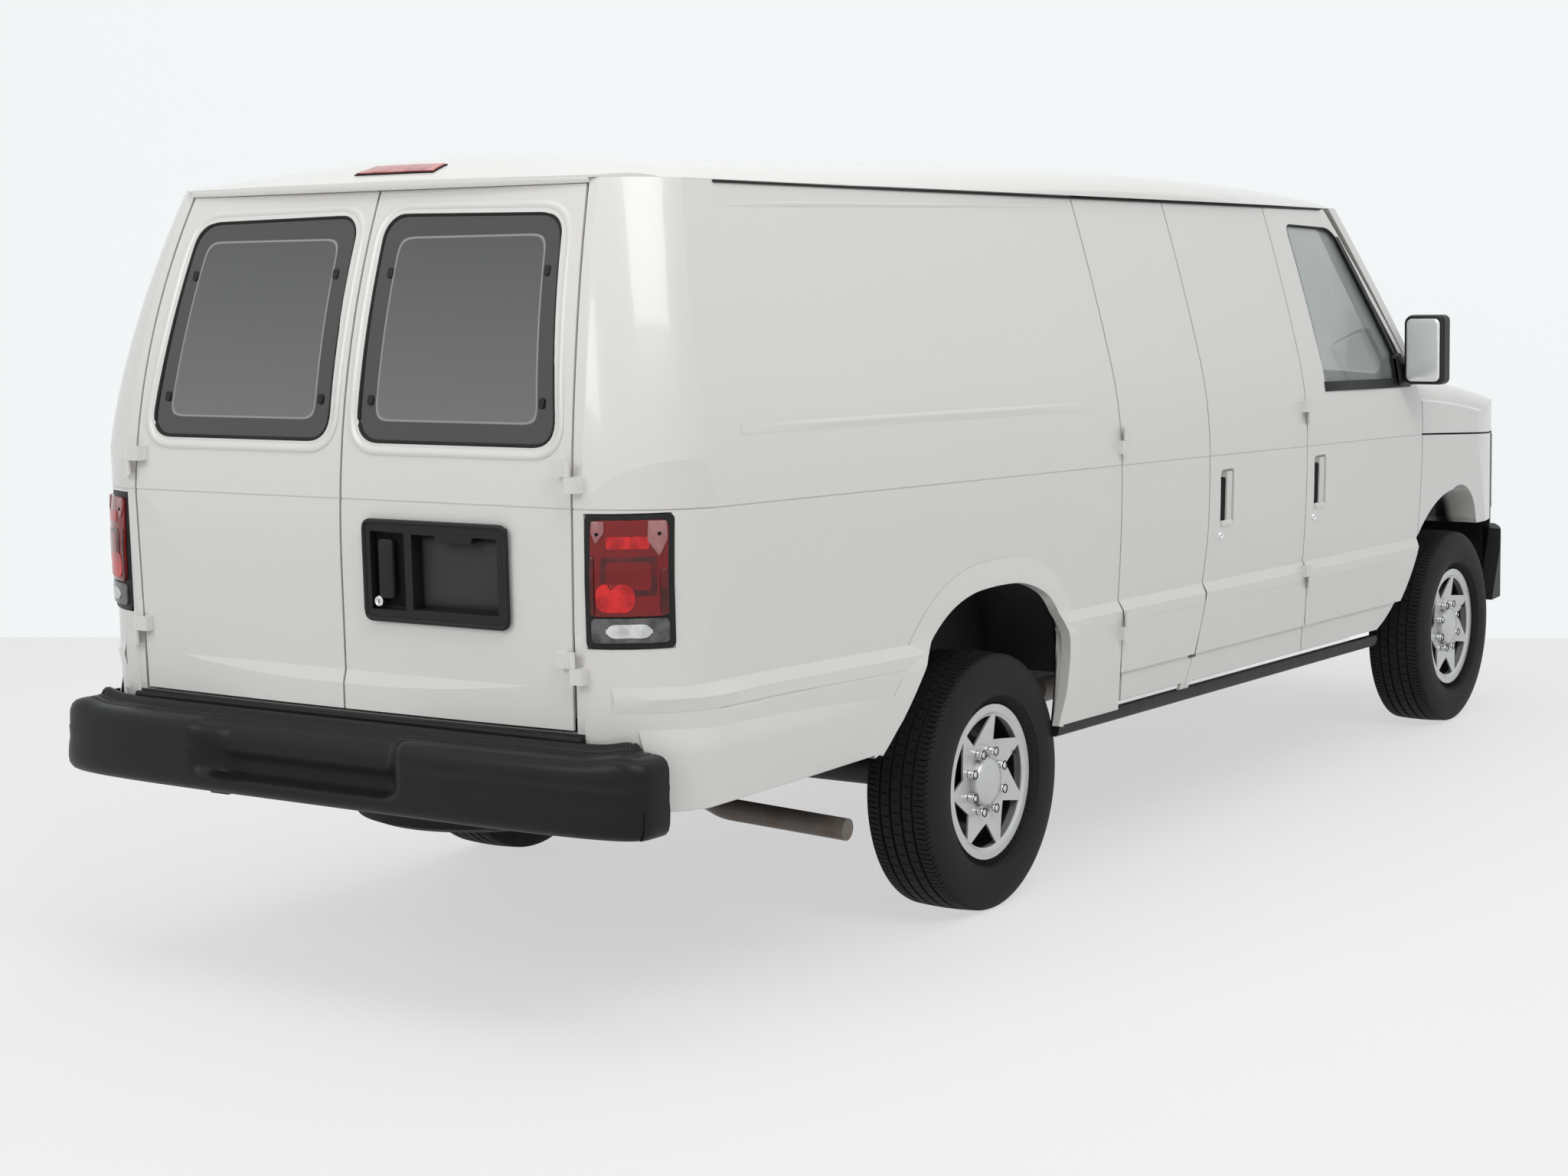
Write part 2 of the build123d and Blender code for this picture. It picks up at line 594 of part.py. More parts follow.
SILL_LOW_Z = SILL_Z + 12
sill_right = frame_piece(SIDE_DOOR_REAR_X - 60, 1330, SILL_LOW_Z, SILL_TOP_Z)
rail_right = frame_piece(SIDE_DOOR_REAR_X - 60, 1330, GUTTER_Z - 60, ROOF_BASE_Z + 20)
pillar_right = frame_piece(PILLAR_X - 35, PILLAR_X + 35, SILL_LOW_Z, ROOF_BASE_Z + 20)
lap_right = joggle(SIDE_DOOR_REAR_X - 60, SIDE_DOOR_REAR_X - 20, SILL_LOW_Z, ROOF_BASE_Z + 20)
side_right = right_wall + (sill_right + rail_right + pillar_right + lap_right)
for leaf_seal in (-400, 250, 700, 840, 1150):
    side_right += seal_blocks(leaf_seal)
side_right += side_hinges(SIDE_DOOR_REAR_X, False, -28)
for hinge_z in SIDE_HINGE_Z:
    side_right += pillar_hinge(hinge_z)
tail_post = tail_layer(WALL, 40) & box(-3100, -2500, 756, 800, 0, 2600)
tail_post += tail_layer(WALL + GAP, 33) & box(-3100, -2500, 706, 757, 0, 2600)
tail_post += tail_layer(WALL + SEAT, GAP) & (box(-3100, -2600, 706, 724, 1000, 1060) + box(-3100, -2600, 706, 715, 1880, 1920))
tail_post = tail_post & box(-3100, -2500, 700, 801, raked(FLOOR_Z, REAR_FACE_X) + 3, 2040)
tail_frame = tail_post + rear_hinges(False, 28)
side_right += mirror(tail_frame, Plane.XZ)
lap_left = mirror(joggle(PILLAR_X - 80, PILLAR_X - 20, SILL_LOW_Z, ROOF_BASE_Z + 20), Plane.XZ)
sill_left = mirror(frame_piece(PILLAR_X - 80, 1330, SILL_LOW_Z, SILL_TOP_Z), Plane.XZ)
rail_left = mirror(frame_piece(PILLAR_X - 80, 1330, GUTTER_Z - 60, ROOF_BASE_Z + 20), Plane.XZ)
pillar_left = mirror(frame_piece(PILLAR_X - 35, PILLAR_X + 35, SILL_LOW_Z, ROOF_BASE_Z + 20), Plane.XZ)
side_left = left_wall + (lap_left + sill_left + rail_left + pillar_left)
side_left += mirror(seal_blocks(840, 1150), Plane.XZ)
side_left += tail_frame
node("side_right", side_right)
lamp_right = mirror(lamp_left, Plane.XZ)
BRAKE_LAMP_HALF = 110
brake_lamp = (up(offset(roof_plan, 4), 1500, 2600) & crown(-2)) - roof
brake_lamp &= box(roof_rear - 20, roof_rear + 60, -BRAKE_LAMP_HALF, BRAKE_LAMP_HALF, 2098, 2128)
node("tail_lamps", lamp_left, lamp_right, brake_lamp)

# ---------------------------------------------------------------- floor, wheelhouses, tail sill
WALL_HALF = HALF_WIDTH - CREASE_TUCK - WALL - 4      # inner face of a fixed wall
FLOOR_HALF = HALF_WIDTH - SILL_TUCK - FRAME_IN - FRAME_DEPTH - 1
HOUSE_IN_Y = 690
HOUSE_SKIN = 12
CAB_FLOOR_X = 1799.7
rear_house = loop(
    (-1790, 300), (-1740, 700), ((-1500, 925), (-1290, 960)), ((-930, 890), (-860, 640)), (-880, 300))
house_room = across(rear_house, HOUSE_IN_Y, HALF_WIDTH)
house_tub = across(offset(rear_house, HOUSE_SKIN), HOUSE_IN_Y - HOUSE_SKIN, WALL_HALF) - house_room
floor_rear = REAR_FACE_X + WALL + 12
floor = box(floor_rear + 100, CAB_FLOOR_X, -FLOOR_HALF, FLOOR_HALF, 0, 1200)
floor += box(floor_rear, floor_rear + 101, -TAIL_SILL_HALF + 1, TAIL_SILL_HALF - 1, 0, 1200)
floor += box(floor_rear + 200, SIDE_DOOR_REAR_X - 62, -WALL_HALF, 0, 0, 1200)
floor += box(floor_rear + 200, PILLAR_X - 82, 0, WALL_HALF, 0, 1200)
floor = floor & below(FLOOR_Z) & above(FLOOR_Z - FLOOR_THICK)
for room in sides(house_room):
    floor -= room
for bed in sides(across(offset(rear_house, HOUSE_SKIN + SEAT), HOUSE_IN_Y - HOUSE_SKIN - SEAT, HALF_WIDTH)):
    floor -= bed
node("wheelhouses", *sides(house_tub & above(FLOOR_Z - FLOOR_THICK - 40)))
tail_sill = tail_layer(0, WALL) & box(
    -3100, -2700, -TAIL_SILL_HALF + 1, TAIL_SILL_HALF - 1, QUARTER_FOOT_Z, REAR_DOOR_SILL_Z - GAP / 2)
floor += tail_sill + box(REAR_FACE_X + WALL - 10, REAR_FACE_X + WALL + 20, -TAIL_SILL_HALF + 1, TAIL_SILL_HALF - 1,
                         QUARTER_FOOT_Z + 40, raked(FLOOR_Z, REAR_FACE_X) - 1)
floor -= box(1130 + 15, CAB_FLOOR_X + 10, -275, 275, 500, 800)
node("floor", floor)

HOOD_TOP = 1432            # crown of the hood, projected back to where it runs level
HOOD_LEVEL_X = 1268
HOOD_BEND = 7600
HOOD_THICK = 28
HOOD_AXIS_X = FRONT_DOOR_X + 11
HOOD_AXIS_Z = 1375
HOOD_SWEEP = 46            # clearance round the hood's axis below the screen pillar's foot
NOSE_WALL = 36


def hood_crown(drop):
    top = HOOD_TOP - drop
    wide = HALF_WIDTH - drop
    face = twin((0, 500), (wide + 60, 500), (wide + 60, top - 200), (wide - 11, top - 128),
                ((wide - 38, top - 76), (wide - 105, top - 47)), ((wide / 2, top - 12), (0, top)))
    pivot = Axis((HOOD_LEVEL_X, 0, HOOD_TOP - HOOD_BEND), (0, 1, 0))
    return revolve(Pos(HOOD_LEVEL_X, 0, 0) * (Plane.YZ * face), pivot, revolution_arc=16)


# ---------------------------------------------------------------- cowl: firewall, screen pillars, plenum
FIREWALL_X = 1800
FIREWALL_THICK = 25
PLENUM_TOP = 1372
SCREEN_GLASS = 6
PILLAR_FOOT_Z = 1342
frame_room = box(1200, 2300, -1200, 1200, PILLAR_FOOT_Z, 2300) & below(ROOF_BASE_Z, SEAT)
screen_frame = (along_x(section(0, 900), 1200, 2300, RAKE) & frame_room) & screen_wedge(0)
screen_frame -= screen_wedge(WALL)
screen_frame -= screen_through
door_clear = side_layer(-5, FRAME_IN + 5, PILLAR_X, FRONT_DOOR_X + 40) & doorway(front_outline, RIGHT_SIDE)
for clear in sides(door_clear):
    screen_frame -= clear
plenum = screen_wedge(-70) & box(FIREWALL_X, 2300, -900, 900, 1300, PLENUM_TOP)
plenum -= screen_wedge(WALL) & box(1200, 2300, -1500, 1500, 1300 + 25, 2300)
plenum = plenum & hood_crown(HOOD_THICK + GAP)
POST_OUT_Y = HALF_WIDTH - CREASE_TUCK - WALL - GAP
post = box(FIREWALL_X, FRONT_DOOR_X - 4, FLOOR_HALF + 1, POST_OUT_Y, 640, PILLAR_FOOT_Z + 8)
post += box(FIREWALL_X, FRONT_DOOR_X - 4, 840, POST_OUT_Y, 1300, PILLAR_FOOT_Z + 8)
post -= across(offset(front_arch, LINER + SEAT), *LEFT_SIDE)
for hinge_z in (860, 1180):
    post += mirror(side_layer(WALL + SEAT, 30, FIREWALL_X + 2, FIREWALL_X + 38), Plane.XZ) & box(
        1700, 1900, 800, 1100, hinge_z - 35, hinge_z + 35)
firewall = box(FIREWALL_X, FIREWALL_X + FIREWALL_THICK, -FLOOR_HALF - 2, FLOOR_HALF + 2,
               raked(FLOOR_Z - FLOOR_THICK, FIREWALL_X), 1326)
COVER_HALF = 290           # engine cover between the seats
COVER_REAR_X = 1130
COVER_TOP_Z = 1010
COVER_WALL = 15


def engine_cover(inset):
    """Block of the raised cover over the rear of the engine."""
    return across(loop((COVER_REAR_X + inset, 600), (COVER_REAR_X + 60 + inset, COVER_TOP_Z - 60 - inset),
                       (COVER_REAR_X + 140 + inset, COVER_TOP_Z - inset), (FIREWALL_X, COVER_TOP_Z + 60 - inset),
                       (FIREWALL_X, 600)), -COVER_HALF + inset, COVER_HALF - inset)


engine_room = engine_cover(COVER_WALL) + box(FIREWALL_X - 1, 2300, -COVER_HALF + COVER_WALL, COVER_HALF - COVER_WALL,
                                             400, COVER_TOP_Z + 60 - COVER_WALL)
cover = engine_cover(0) & above(FLOOR_Z) - engine_cover(COVER_WALL)
cowl = screen_frame + plenum + firewall + cover - engine_room
for brace in sides(post):
    cowl += brace
node("cowl", cowl)
windscreen = (screen_pane & screen_wedge(8)) - screen_wedge(8 + SCREEN_GLASS)
node("windscreen", windscreen)

# ---------------------------------------------------------------- nose: hood, fenders, front panel
def nose_front(inset):
    """Side view of the nose: its front rolls back into the hood."""
    x = NOSE_X - inset
    return across(loop((0, 300), (0, 2000), (x - 260, 2000), (x - 260, 1300 - inset),
                       ((x - 60, 1222 - inset), (x, 1110 - inset)), (x + 14, 760), (x + 14, 300)), -1500, 1500)


def nose(inset):
    body = along_x(section(inset, 400), 1700, 3100, RAKE) & up(plan(inset), 0, 2600)
    return body & nose_front(inset)


BELT_END_X = 2654          # the seam runs level from here round the front of the nose


def belt_cut(margin):
    """Everything above the belt seam, less the margin."""
    knee = FRONT_DOOR_X
    tip = belt(BELT_END_X) + margin
    return across(loop((0, belt(0) + margin), (knee, belt(knee) + margin), (BELT_END_X, tip), (3300, tip),
                       (3300, 3000), (0, 3000)), -1500, 1500)


nose_shell = nose(0) - nose(NOSE_WALL)
hood_room = belt_cut(GAP / 2) & box(FRONT_DOOR_X + GAP / 2, 3200, -1100, 1100, 0, 2000)
SCREEN_CLEAR = 34
hood_skin = (nose(0) & hood_crown(0)) - (nose(HOOD_THICK) & hood_crown(HOOD_THICK))
foot_clear = box(1000, 2400, -1500, 1500, PILLAR_FOOT_Z - 6, 2400) + box(1000, 2400, -912, 912, 1290, 2400)
hood_skin = hood_skin & (hood_room - (screen_wedge(-SCREEN_CLEAR) & foot_clear))
hood_skin -= rod((HOOD_AXIS_X, -1100, HOOD_AXIS_Z), (HOOD_AXIS_X, 1100, HOOD_AXIS_Z), HOOD_SWEEP)
node("hood", hood_skin)

fender_block = box(FRONT_DOOR_X + GAP / 2, 2700, 700, 1100, 0, 1400) - belt_cut(-GAP / 2)
fender_left = (nose_shell & fender_block) - across(front_arch, *LEFT_SIDE)
APRON_Y = 548
liner = across(offset(front_arch, LINER) - front_arch, APRON_Y, HALF_WIDTH - NOSE_WALL + 12)
liner = liner & box(FIREWALL_X + FIREWALL_THICK + SEAT, 2700, 0, 1100, 690, 1000)
liner = (liner & nose(6)) - box(1700, FRONT_DOOR_X + GAP, POST_OUT_Y, 1100, 0, 1400)
apron = box(FIREWALL_X + FIREWALL_THICK + SEAT, 2700, APRON_Y - LINER, APRON_Y + 1, 640, 1040)
fender_left += liner + apron
node("fenders", *sides(fender_left))

GRILLE_HALF = 545
GRILLE_LOW_Z = 800
GRILLE_HIGH_Z = 1082
HEADLAMP_IN_Y = 575
HEADLAMP_LOW_Z = 790
HEADLAMP_HIGH_Z = 1086
HEADLAMP_REAR_X = 2760
panel_block = box(2700 + GAP, 3100, -1100, 1100, FENDER_FOOT_Z - 40, 1400) - belt_cut(-GAP / 2)
front_panel = nose_shell & panel_block
grille_hole = extrude(Pos(2700, 0, 0) * (Plane.YZ * rounded(loop(
    (-GRILLE_HALF, GRILLE_LOW_Z), (GRILLE_HALF, GRILLE_LOW_Z), (GRILLE_HALF + 8, GRILLE_HIGH_Z),
    (-GRILLE_HALF - 8, GRILLE_HIGH_Z)), 30)), amount=400)
front_panel -= grille_hole
GRILLE_BAR = 16
bars = None
for step in range(5):
    low = GRILLE_LOW_Z + 30 + step * (GRILLE_HIGH_Z - GRILLE_LOW_Z - 60 - GRILLE_BAR) / 4
    bar = box(2700, 3100, -GRILLE_HALF - 14, GRILLE_HALF + 14, low, low + GRILLE_BAR)
    bars = bar if bars is None else bars + bar
for bar_y in (-360, -180, 0, 180, 360):
    bars += box(2700, 3100, bar_y - 9, bar_y + 9, GRILLE_LOW_Z - 5, GRILLE_HIGH_Z + 5)
front_panel += (nose(10) - nose(NOSE_WALL - 4)) & bars
SUPPORT_X = 2712
support = box(SUPPORT_X, SUPPORT_X + 14, -960, 960, raked(FLOOR_Z - FLOOR_THICK - MOUNT_HEIGHT, SUPPORT_X) + SEAT, 1090)
support -= box(SUPPORT_X - 1, SUPPORT_X + 20, -GRILLE_HALF + 60, GRILLE_HALF - 60, GRILLE_LOW_Z + 20, 1050)
support = support & nose(NOSE_WALL - 4)
front_panel += support
for lamp_side in (LEFT, RIGHT):
    front_panel += box(SUPPORT_X - 11.7, SUPPORT_X + 1, lamp_side * 560 - 30, lamp_side * 560 + 30, 720, 780)
under_hood = Pos(0, 0, -SEAT) * (nose(HOOD_THICK) & hood_crown(HOOD_THICK))
for lamp_side in (LEFT, RIGHT):
    stop = Pos(SUPPORT_X + 7, lamp_side * 500, 1080) * Cylinder(14, 300, align=(Align.CENTER, Align.CENTER, Align.MIN))
    front_panel += stop & under_hood
headlamp_room = box(HEADLAMP_REAR_X, 3100, HEADLAMP_IN_Y, 1100, HEADLAMP_LOW_Z, HEADLAMP_HIGH_Z)
for room in sides(headlamp_room):
    front_panel -= room
headlamp_left = (nose(-4) - nose(NOSE_WALL)) & box(
    HEADLAMP_REAR_X + SEAT, 3100, HEADLAMP_IN_Y + SEAT, 1100, HEADLAMP_LOW_Z + SEAT, HEADLAMP_HIGH_Z - SEAT)
node("headlamps", *sides(headlamp_left))
node("grille", front_panel)

# ---------------------------------------------------------------- bumpers
BUMPER_CLEAR = 6
BUMPER_TOP_Z = 740
bumper_side = loop((REAR_BUMPER_X, 575), (REAR_BUMPER_X + 16, 530), (REAR_FACE_X + 90, 545),
                   (REAR_FACE_X + 90, BUMPER_TOP_Z), (REAR_FACE_X - 20, BUMPER_TOP_Z), (REAR_BUMPER_X + 26, 700), (REAR_BUMPER_X, 668))
bumper_plan = plan_twin(
    (REAR_BUMPER_X, 0), (REAR_BUMPER_X, 560), ((REAR_BUMPER_X + 18, 840), (REAR_BUMPER_X + 62, HALF_WIDTH - 18)),
    ((REAR_BUMPER_X + 90, HALF_WIDTH), (REAR_BUMPER_X + 176, HALF_WIDTH)), (REAR_BUMPER_X + 176, 0))
rear_bumper = across(bumper_side, -1200, 1200) & up(bumper_plan, 400, 900)
rear_bumper -= rear_hull(-BUMPER_CLEAR)
STEP_Z = 575               # floor of the step in the middle of the bumper
STEP_DEEP = 62
BALL_HOLE = 14             # radius of the hole for a tow ball
rear_bumper -= box(REAR_BUMPER_X - 1, REAR_BUMPER_X + STEP_DEEP, -250, 450, STEP_Z, 712)
rear_bumper -= Pos(REAR_BUMPER_X + 36, 0, 500) * Cylinder(BALL_HOLE, STEP_Z - 499, align=(
    Align.CENTER, Align.CENTER, Align.MIN))
node("rear_bumper", rear_bumper)

front_side = loop((FRONT_BUMPER_X - 24, 430), (FRONT_BUMPER_X, 480), (FRONT_BUMPER_X, 660), (FRONT_BUMPER_X - 30, 706),
                  (NOSE_X - 80, 712), (NOSE_X - 160, 700), (NOSE_X - 320, 430))
front_plan = plan_twin(
    (FRONT_BUMPER_X, 0), ((FRONT_BUMPER_X - 14, 450), (FRONT_BUMPER_X - 66, 800)),
    ((FRONT_BUMPER_X - 130, 920), (FRONT_BUMPER_X - 246, 985)), (FRONT_BUMPER_X - 406, 1000),
    (FRONT_BUMPER_X - 406, 950), (FRONT_BUMPER_X - 266, 930),
    ((FRONT_BUMPER_X - 126, 850), (FRONT_BUMPER_X - 101, 760)),
    ((FRONT_BUMPER_X - 66, 400), (FRONT_BUMPER_X - 56, 0)))
front_bumper = across(front_side, -1200, 1200) & up(front_plan, 400, 900)
node("front_bumper", front_bumper)

# ---------------------------------------------------------------- chassis frame
COIL_Y = 600
COIL_TOP_Z = 594
PIVOT_Y = -190
PIVOT_TOP_Z = 428
SPARE_X = -2320
SPARE_Z = 512
RAIL_TOP_Z = FLOOR_Z - FLOOR_THICK - MOUNT_HEIGHT
RAIL_REAR_X = REAR_FACE_X + WALL + 20.3
RAIL_FRONT_X = 2929


def rail_block(y0, y1, x0, x1, low, high):
    return box(x0, x1, y0, y1, 0, 1200) & below(high) & above(low)


rail = rail_block(RAIL_Y, RAIL_Y + RAIL_WIDTH, RAIL_REAR_X, RAIL_FRONT_X, RAIL_TOP_Z - RAIL_DEPTH, RAIL_TOP_Z)
chassis = rail + mirror(rail, Plane.XZ)
CROSS_X = (-2750, -1880, -700, 300, 2259, 2860)
for station in CROSS_X:
    chassis += rail_block(-RAIL_Y - 1, RAIL_Y + 1, station - 35, station + 35,
                          RAIL_TOP_Z - RAIL_DEPTH + 20, RAIL_TOP_Z - 50)
MOUNT_X = (-2700, -1900, -750, 0, 700, 1400)
for station in MOUNT_X:
    for side in (LEFT, RIGHT):
        puck = Pos(station, side * (RAIL_Y + RAIL_WIDTH / 2), raked(RAIL_TOP_Z - 2, station)) * Cylinder(
            38, MOUNT_HEIGHT + 2 - 0.3, align=(Align.CENTER, Align.CENTER, Align.MIN))
        chassis += puck & below(FLOOR_Z - FLOOR_THICK - 0.3)
bracket = box(REAR_FACE_X - TAIL_BULGE - BUMPER_CLEAR + SEAT, RAIL_REAR_X + 1, RAIL_Y, RAIL_Y + RAIL_WIDTH, 498, 558)
tip = box(RAIL_FRONT_X - 30, FRONT_BUMPER_X - 40, RAIL_Y, RAIL_Y + RAIL_WIDTH, 450, 540)
tip -= Pos(-SEAT, 0, 0) * front_bumper
bracket -= Pos(SEAT, 0, 0) * rear_bumper
tower = box(FRONT_AXLE_X - 95, FRONT_AXLE_X + 95, RAIL_Y + 10, COIL_Y + 50, COIL_TOP_Z + SEAT, COIL_TOP_Z + 14)
pivot_post = box(FRONT_AXLE_X - 60, FRONT_AXLE_X + 60, -PIVOT_Y - 28, -PIVOT_Y + 28, PIVOT_TOP_Z + SEAT, 470)
tower += box(FRONT_AXLE_X - 95, FRONT_AXLE_X + 95, RAIL_Y + 5, RAIL_Y + RAIL_WIDTH, 560, COIL_TOP_Z + 14)
for piece in (bracket, tip, tower, pivot_post):
    for each in sides(piece):
        chassis += each
chassis += rail_block(-RAIL_Y - 1, RAIL_Y + 1, SPARE_X - 35, SPARE_X + 35, RAIL_TOP_Z - 44, RAIL_TOP_Z - 4)
SPARE_DISC_Z = SPARE_Z - DISC_FACE
chassis += Pos(SPARE_X, 0, SPARE_DISC_Z + SEAT) * Cylinder(20, 155, align=(Align.CENTER, Align.CENTER, Align.MIN))
chassis += Pos(SPARE_X, 0, SPARE_DISC_Z + SEAT) * Cylinder(75, 8, align=(Align.CENTER, Align.CENTER, Align.MIN))
node("chassis", chassis)

# ---------------------------------------------------------------- engine, tank, exhaust
GEARBOX_REAR_X = 600
SHAFT_Z = 445
engine = box(1290, 2060, -235, 235, 430, 930)
engine += rod((1300, 0, SHAFT_Z), (GEARBOX_REAR_X, 0, SHAFT_Z), 108)
node("engine", engine)

TANK_TOP = raked(RAIL_TOP_Z - RAIL_DEPTH + 20, 300 + 35) - 0.3
tank = fillet(box(-620, 620, 115, RAIL_Y - 12, TANK_TOP - 150, TANK_TOP).edges(), 28)
node("fuel_tank", tank)


def pipe(radius, bend, *points):
    """Round tube bent to one radius along straight runs."""
    path = FilletPolyline(*points, radius=bend)
    return sweep(Plane(origin=path @ 0, z_dir=path % 0) * Circle(radius), path=path)


MUFFLER_Y = -265
TAIL_PIPE_X = -1960
exhaust = pipe(30, 110, (1330, -180, 400 - SEAT), (900, MUFFLER_Y, 400), (640, MUFFLER_Y, 400))
exhaust += extrude(Pos(640, MUFFLER_Y, 400) * (Plane.YZ * Ellipse(120, 70)), amount=-560)
exhaust += pipe(30, 110, (90, MUFFLER_Y, 400), (-700, MUFFLER_Y, 420), (-1010, MUFFLER_Y - 40, 560),
                (-1500, MUFFLER_Y - 40, 560), (-1850, MUFFLER_Y - 60, 400), (TAIL_PIPE_X, -520, 385),
                (TAIL_PIPE_X + 20, -905, 362))
node("exhaust", exhaust)

# ---------------------------------------------------------------- wheels
RIM_DEPTH = 92
BORE_RADIUS = 58
LUG_CIRCLE = 82.5
RING_DEPTH = 8             # bright ring of the cover, over the rim's flange


def spun(*steps):
    """Solid of revolution about the wheel's axis; the outline gives radius and offset outwards."""
    return revolve(Plane.XZ * loop(*steps), Axis.Z)


def tyre():
    half, crown_half = TYRE_WIDTH / 2, TYRE_WIDTH / 2 - 24
    seat = RIM_RADIUS + SEAT
    bead = COVER_FACE - RING_DEPTH - 0.5
    flank = [(COVER_RADIUS + 3, bead), (COVER_RADIUS + 26, half - 6), (TYRE_RADIUS - 82, half),
             (TYRE_RADIUS - 42, half - 5), (TYRE_RADIUS - 6, crown_half + 4), (TYRE_RADIUS, crown_half - 22)]
    inner = [(radius, -offset_out) for radius, offset_out in flank]
    return spun((seat, -bead), *inner, *flank[::-1], (seat, bead))


def wheel():
    """Steel rim with its disc, and a pressed cover with seven swept arms over it."""
    flange = RIM_RADIUS + 16
    rim = spun((RIM_RADIUS - 7, -RIM_DEPTH), (flange, -RIM_DEPTH), (flange, -RIM_DEPTH + 8),
               (RIM_RADIUS, -RIM_DEPTH + 8), (RIM_RADIUS, COVER_FACE - 4), (RIM_RADIUS - 7, COVER_FACE - 4))
    disc = spun((BORE_RADIUS, DISC_FACE), (130, DISC_FACE), (RIM_RADIUS - 5, 0), (RIM_RADIUS - 5, 12),
                (130, DISC_FACE + 12), (BORE_RADIUS, DISC_FACE + 12))
    ring = COVER_FACE - RING_DEPTH
    cover_shell = spun((0, COVER_FACE - 6), (34, COVER_FACE - 9), (50, COVER_FACE - 18), (60, COVER_FACE - 30), (112, COVER_FACE - 26),
                       (192, COVER_FACE - 12), (199, ring), (COVER_RADIUS, ring), (COVER_RADIUS, COVER_FACE),
                       (201, COVER_FACE), (193, COVER_FACE - 6), (112, COVER_FACE - 20), (68, COVER_FACE - 24),
                       (57, COVER_FACE - 12), (38, COVER_FACE - 3), (18, COVER_FACE - 0.5), (0, COVER_FACE))
    arm_gap = loop(polar(190, -19), (polar(190, 3), polar(190, 25)), polar(124, 15))
    for turn in range(7):
        cover_shell -= Rot(0, 0, turn * 360 / 7) * extrude(arm_gap, amount=COVER_FACE + 10)
    for turn in range(8):
        cover_shell += Rot(0, 0, turn * 45 + 22.5) * (Pos(LUG_CIRCLE, 0, COVER_FACE - 25) * Cylinder(
            11, 11, align=(Align.CENTER, Align.CENTER, Align.MIN)))
    return rim + disc + cover_shell


wheel_solid = wheel()
tyre_solid = tyre()
AXLES = {"front": (FRONT_AXLE_X, FRONT_TRACK / 2), "rear": (REAR_AXLE_X, REAR_TRACK / 2)}


def at_wheel(shape, axle, side):
    """Stand a wheel-frame shape, whose +Z looks outwards, at one corner of the van."""
    x, y = AXLES[axle]
    return Pos(x, side * y, TYRE_RADIUS) * (Rot(-90 * side, 0, 0) * shape)


SIDES = {"left": LEFT, "right": RIGHT}
for axle in AXLES:
    for name, side in SIDES.items():
        node(f"wheel_{axle}_{name}", at_wheel(wheel_solid, axle, side))
        node(f"tyre_{axle}_{name}", at_wheel(tyre_solid, axle, side))
plain_wheel = spun((RIM_RADIUS - 7, -RIM_DEPTH), (RIM_RADIUS, -RIM_DEPTH), (RIM_RADIUS, RIM_DEPTH),
                   (RIM_RADIUS - 7, RIM_DEPTH), (RIM_RADIUS - 7, DISC_FACE + 12), (BORE_RADIUS, DISC_FACE + 12),
                   (BORE_RADIUS, DISC_FACE), (RIM_RADIUS - 7, DISC_FACE))
node("spare_wheel", *[Pos(SPARE_X, 0, SPARE_Z) * (Rot(180, 0, 0) * shape) for shape in (plain_wheel, tyre_solid)])

# ---------------------------------------------------------------- axles and knuckles
HUB_RADIUS = BORE_RADIUS - SLIP
KINGPIN_INSET = 95
UPRIGHT_LOW = 288
UPRIGHT_HIGH = 456


rear_hub = spun((0, -120), (52, -120), (52, -98), (160, -98), (160, -40), (105, -34), (105, DISC_FACE - SLIP),
                (HUB_RADIUS, DISC_FACE - SLIP), (HUB_RADIUS, 40), (0, 40))
rear_axle = rod((REAR_AXLE_X, -REAR_TRACK / 2 + 119, TYRE_RADIUS), (REAR_AXLE_X, REAR_TRACK / 2 - 119, TYRE_RADIUS), 45)
rear_axle += Pos(REAR_AXLE_X, 0, TYRE_RADIUS) * (Rot(0, 90, 0) * Cylinder(140, 190))
rear_axle += Pos(REAR_AXLE_X - 114, 0, TYRE_RADIUS) * (Rot(0, -90, 0) * Cone(136, 84, 40))
for side in (LEFT, RIGHT):
    rear_axle += at_wheel(rear_hub, "rear", side)
shaft = rod((REAR_AXLE_X + 94, 0, TYRE_RADIUS), (GEARBOX_REAR_X - 70, 0, SHAFT_Z), 42)
shaft += rod((GEARBOX_REAR_X - 90, 0, SHAFT_Z), (GEARBOX_REAR_X - 0.3, 0, SHAFT_Z), 46)
SPRING_Y = 555
SPRING_HALF = 32
spring_line = [(REAR_AXLE_X - 730, 560), (REAR_AXLE_X, 417), (REAR_AXLE_X + 660, 540)]
leaf = across(make_face(chain(spring_line[0], (spring_line[1], spring_line[2]), (spring_line[2][0], spring_line[2][1] + 22),
                              ((REAR_AXLE_X, 417 + 48), (spring_line[0][0], spring_line[0][1] + 22)), spring_line[0])),
              SPRING_Y - SPRING_HALF, SPRING_Y + SPRING_HALF)
hangers = None
for x, z in (spring_line[0], spring_line[2]):
    eye = rod((x, RAIL_Y + RAIL_WIDTH + 0.3, z + 11), (x, SPRING_Y + SPRING_HALF + 8, z + 11), 24)
    hangers = eye if hangers is None else hangers + eye
springs = leaf + hangers
rear_axle = rear_axle + shaft + springs + mirror(springs, Plane.XZ)
node("rear_axle", rear_axle)

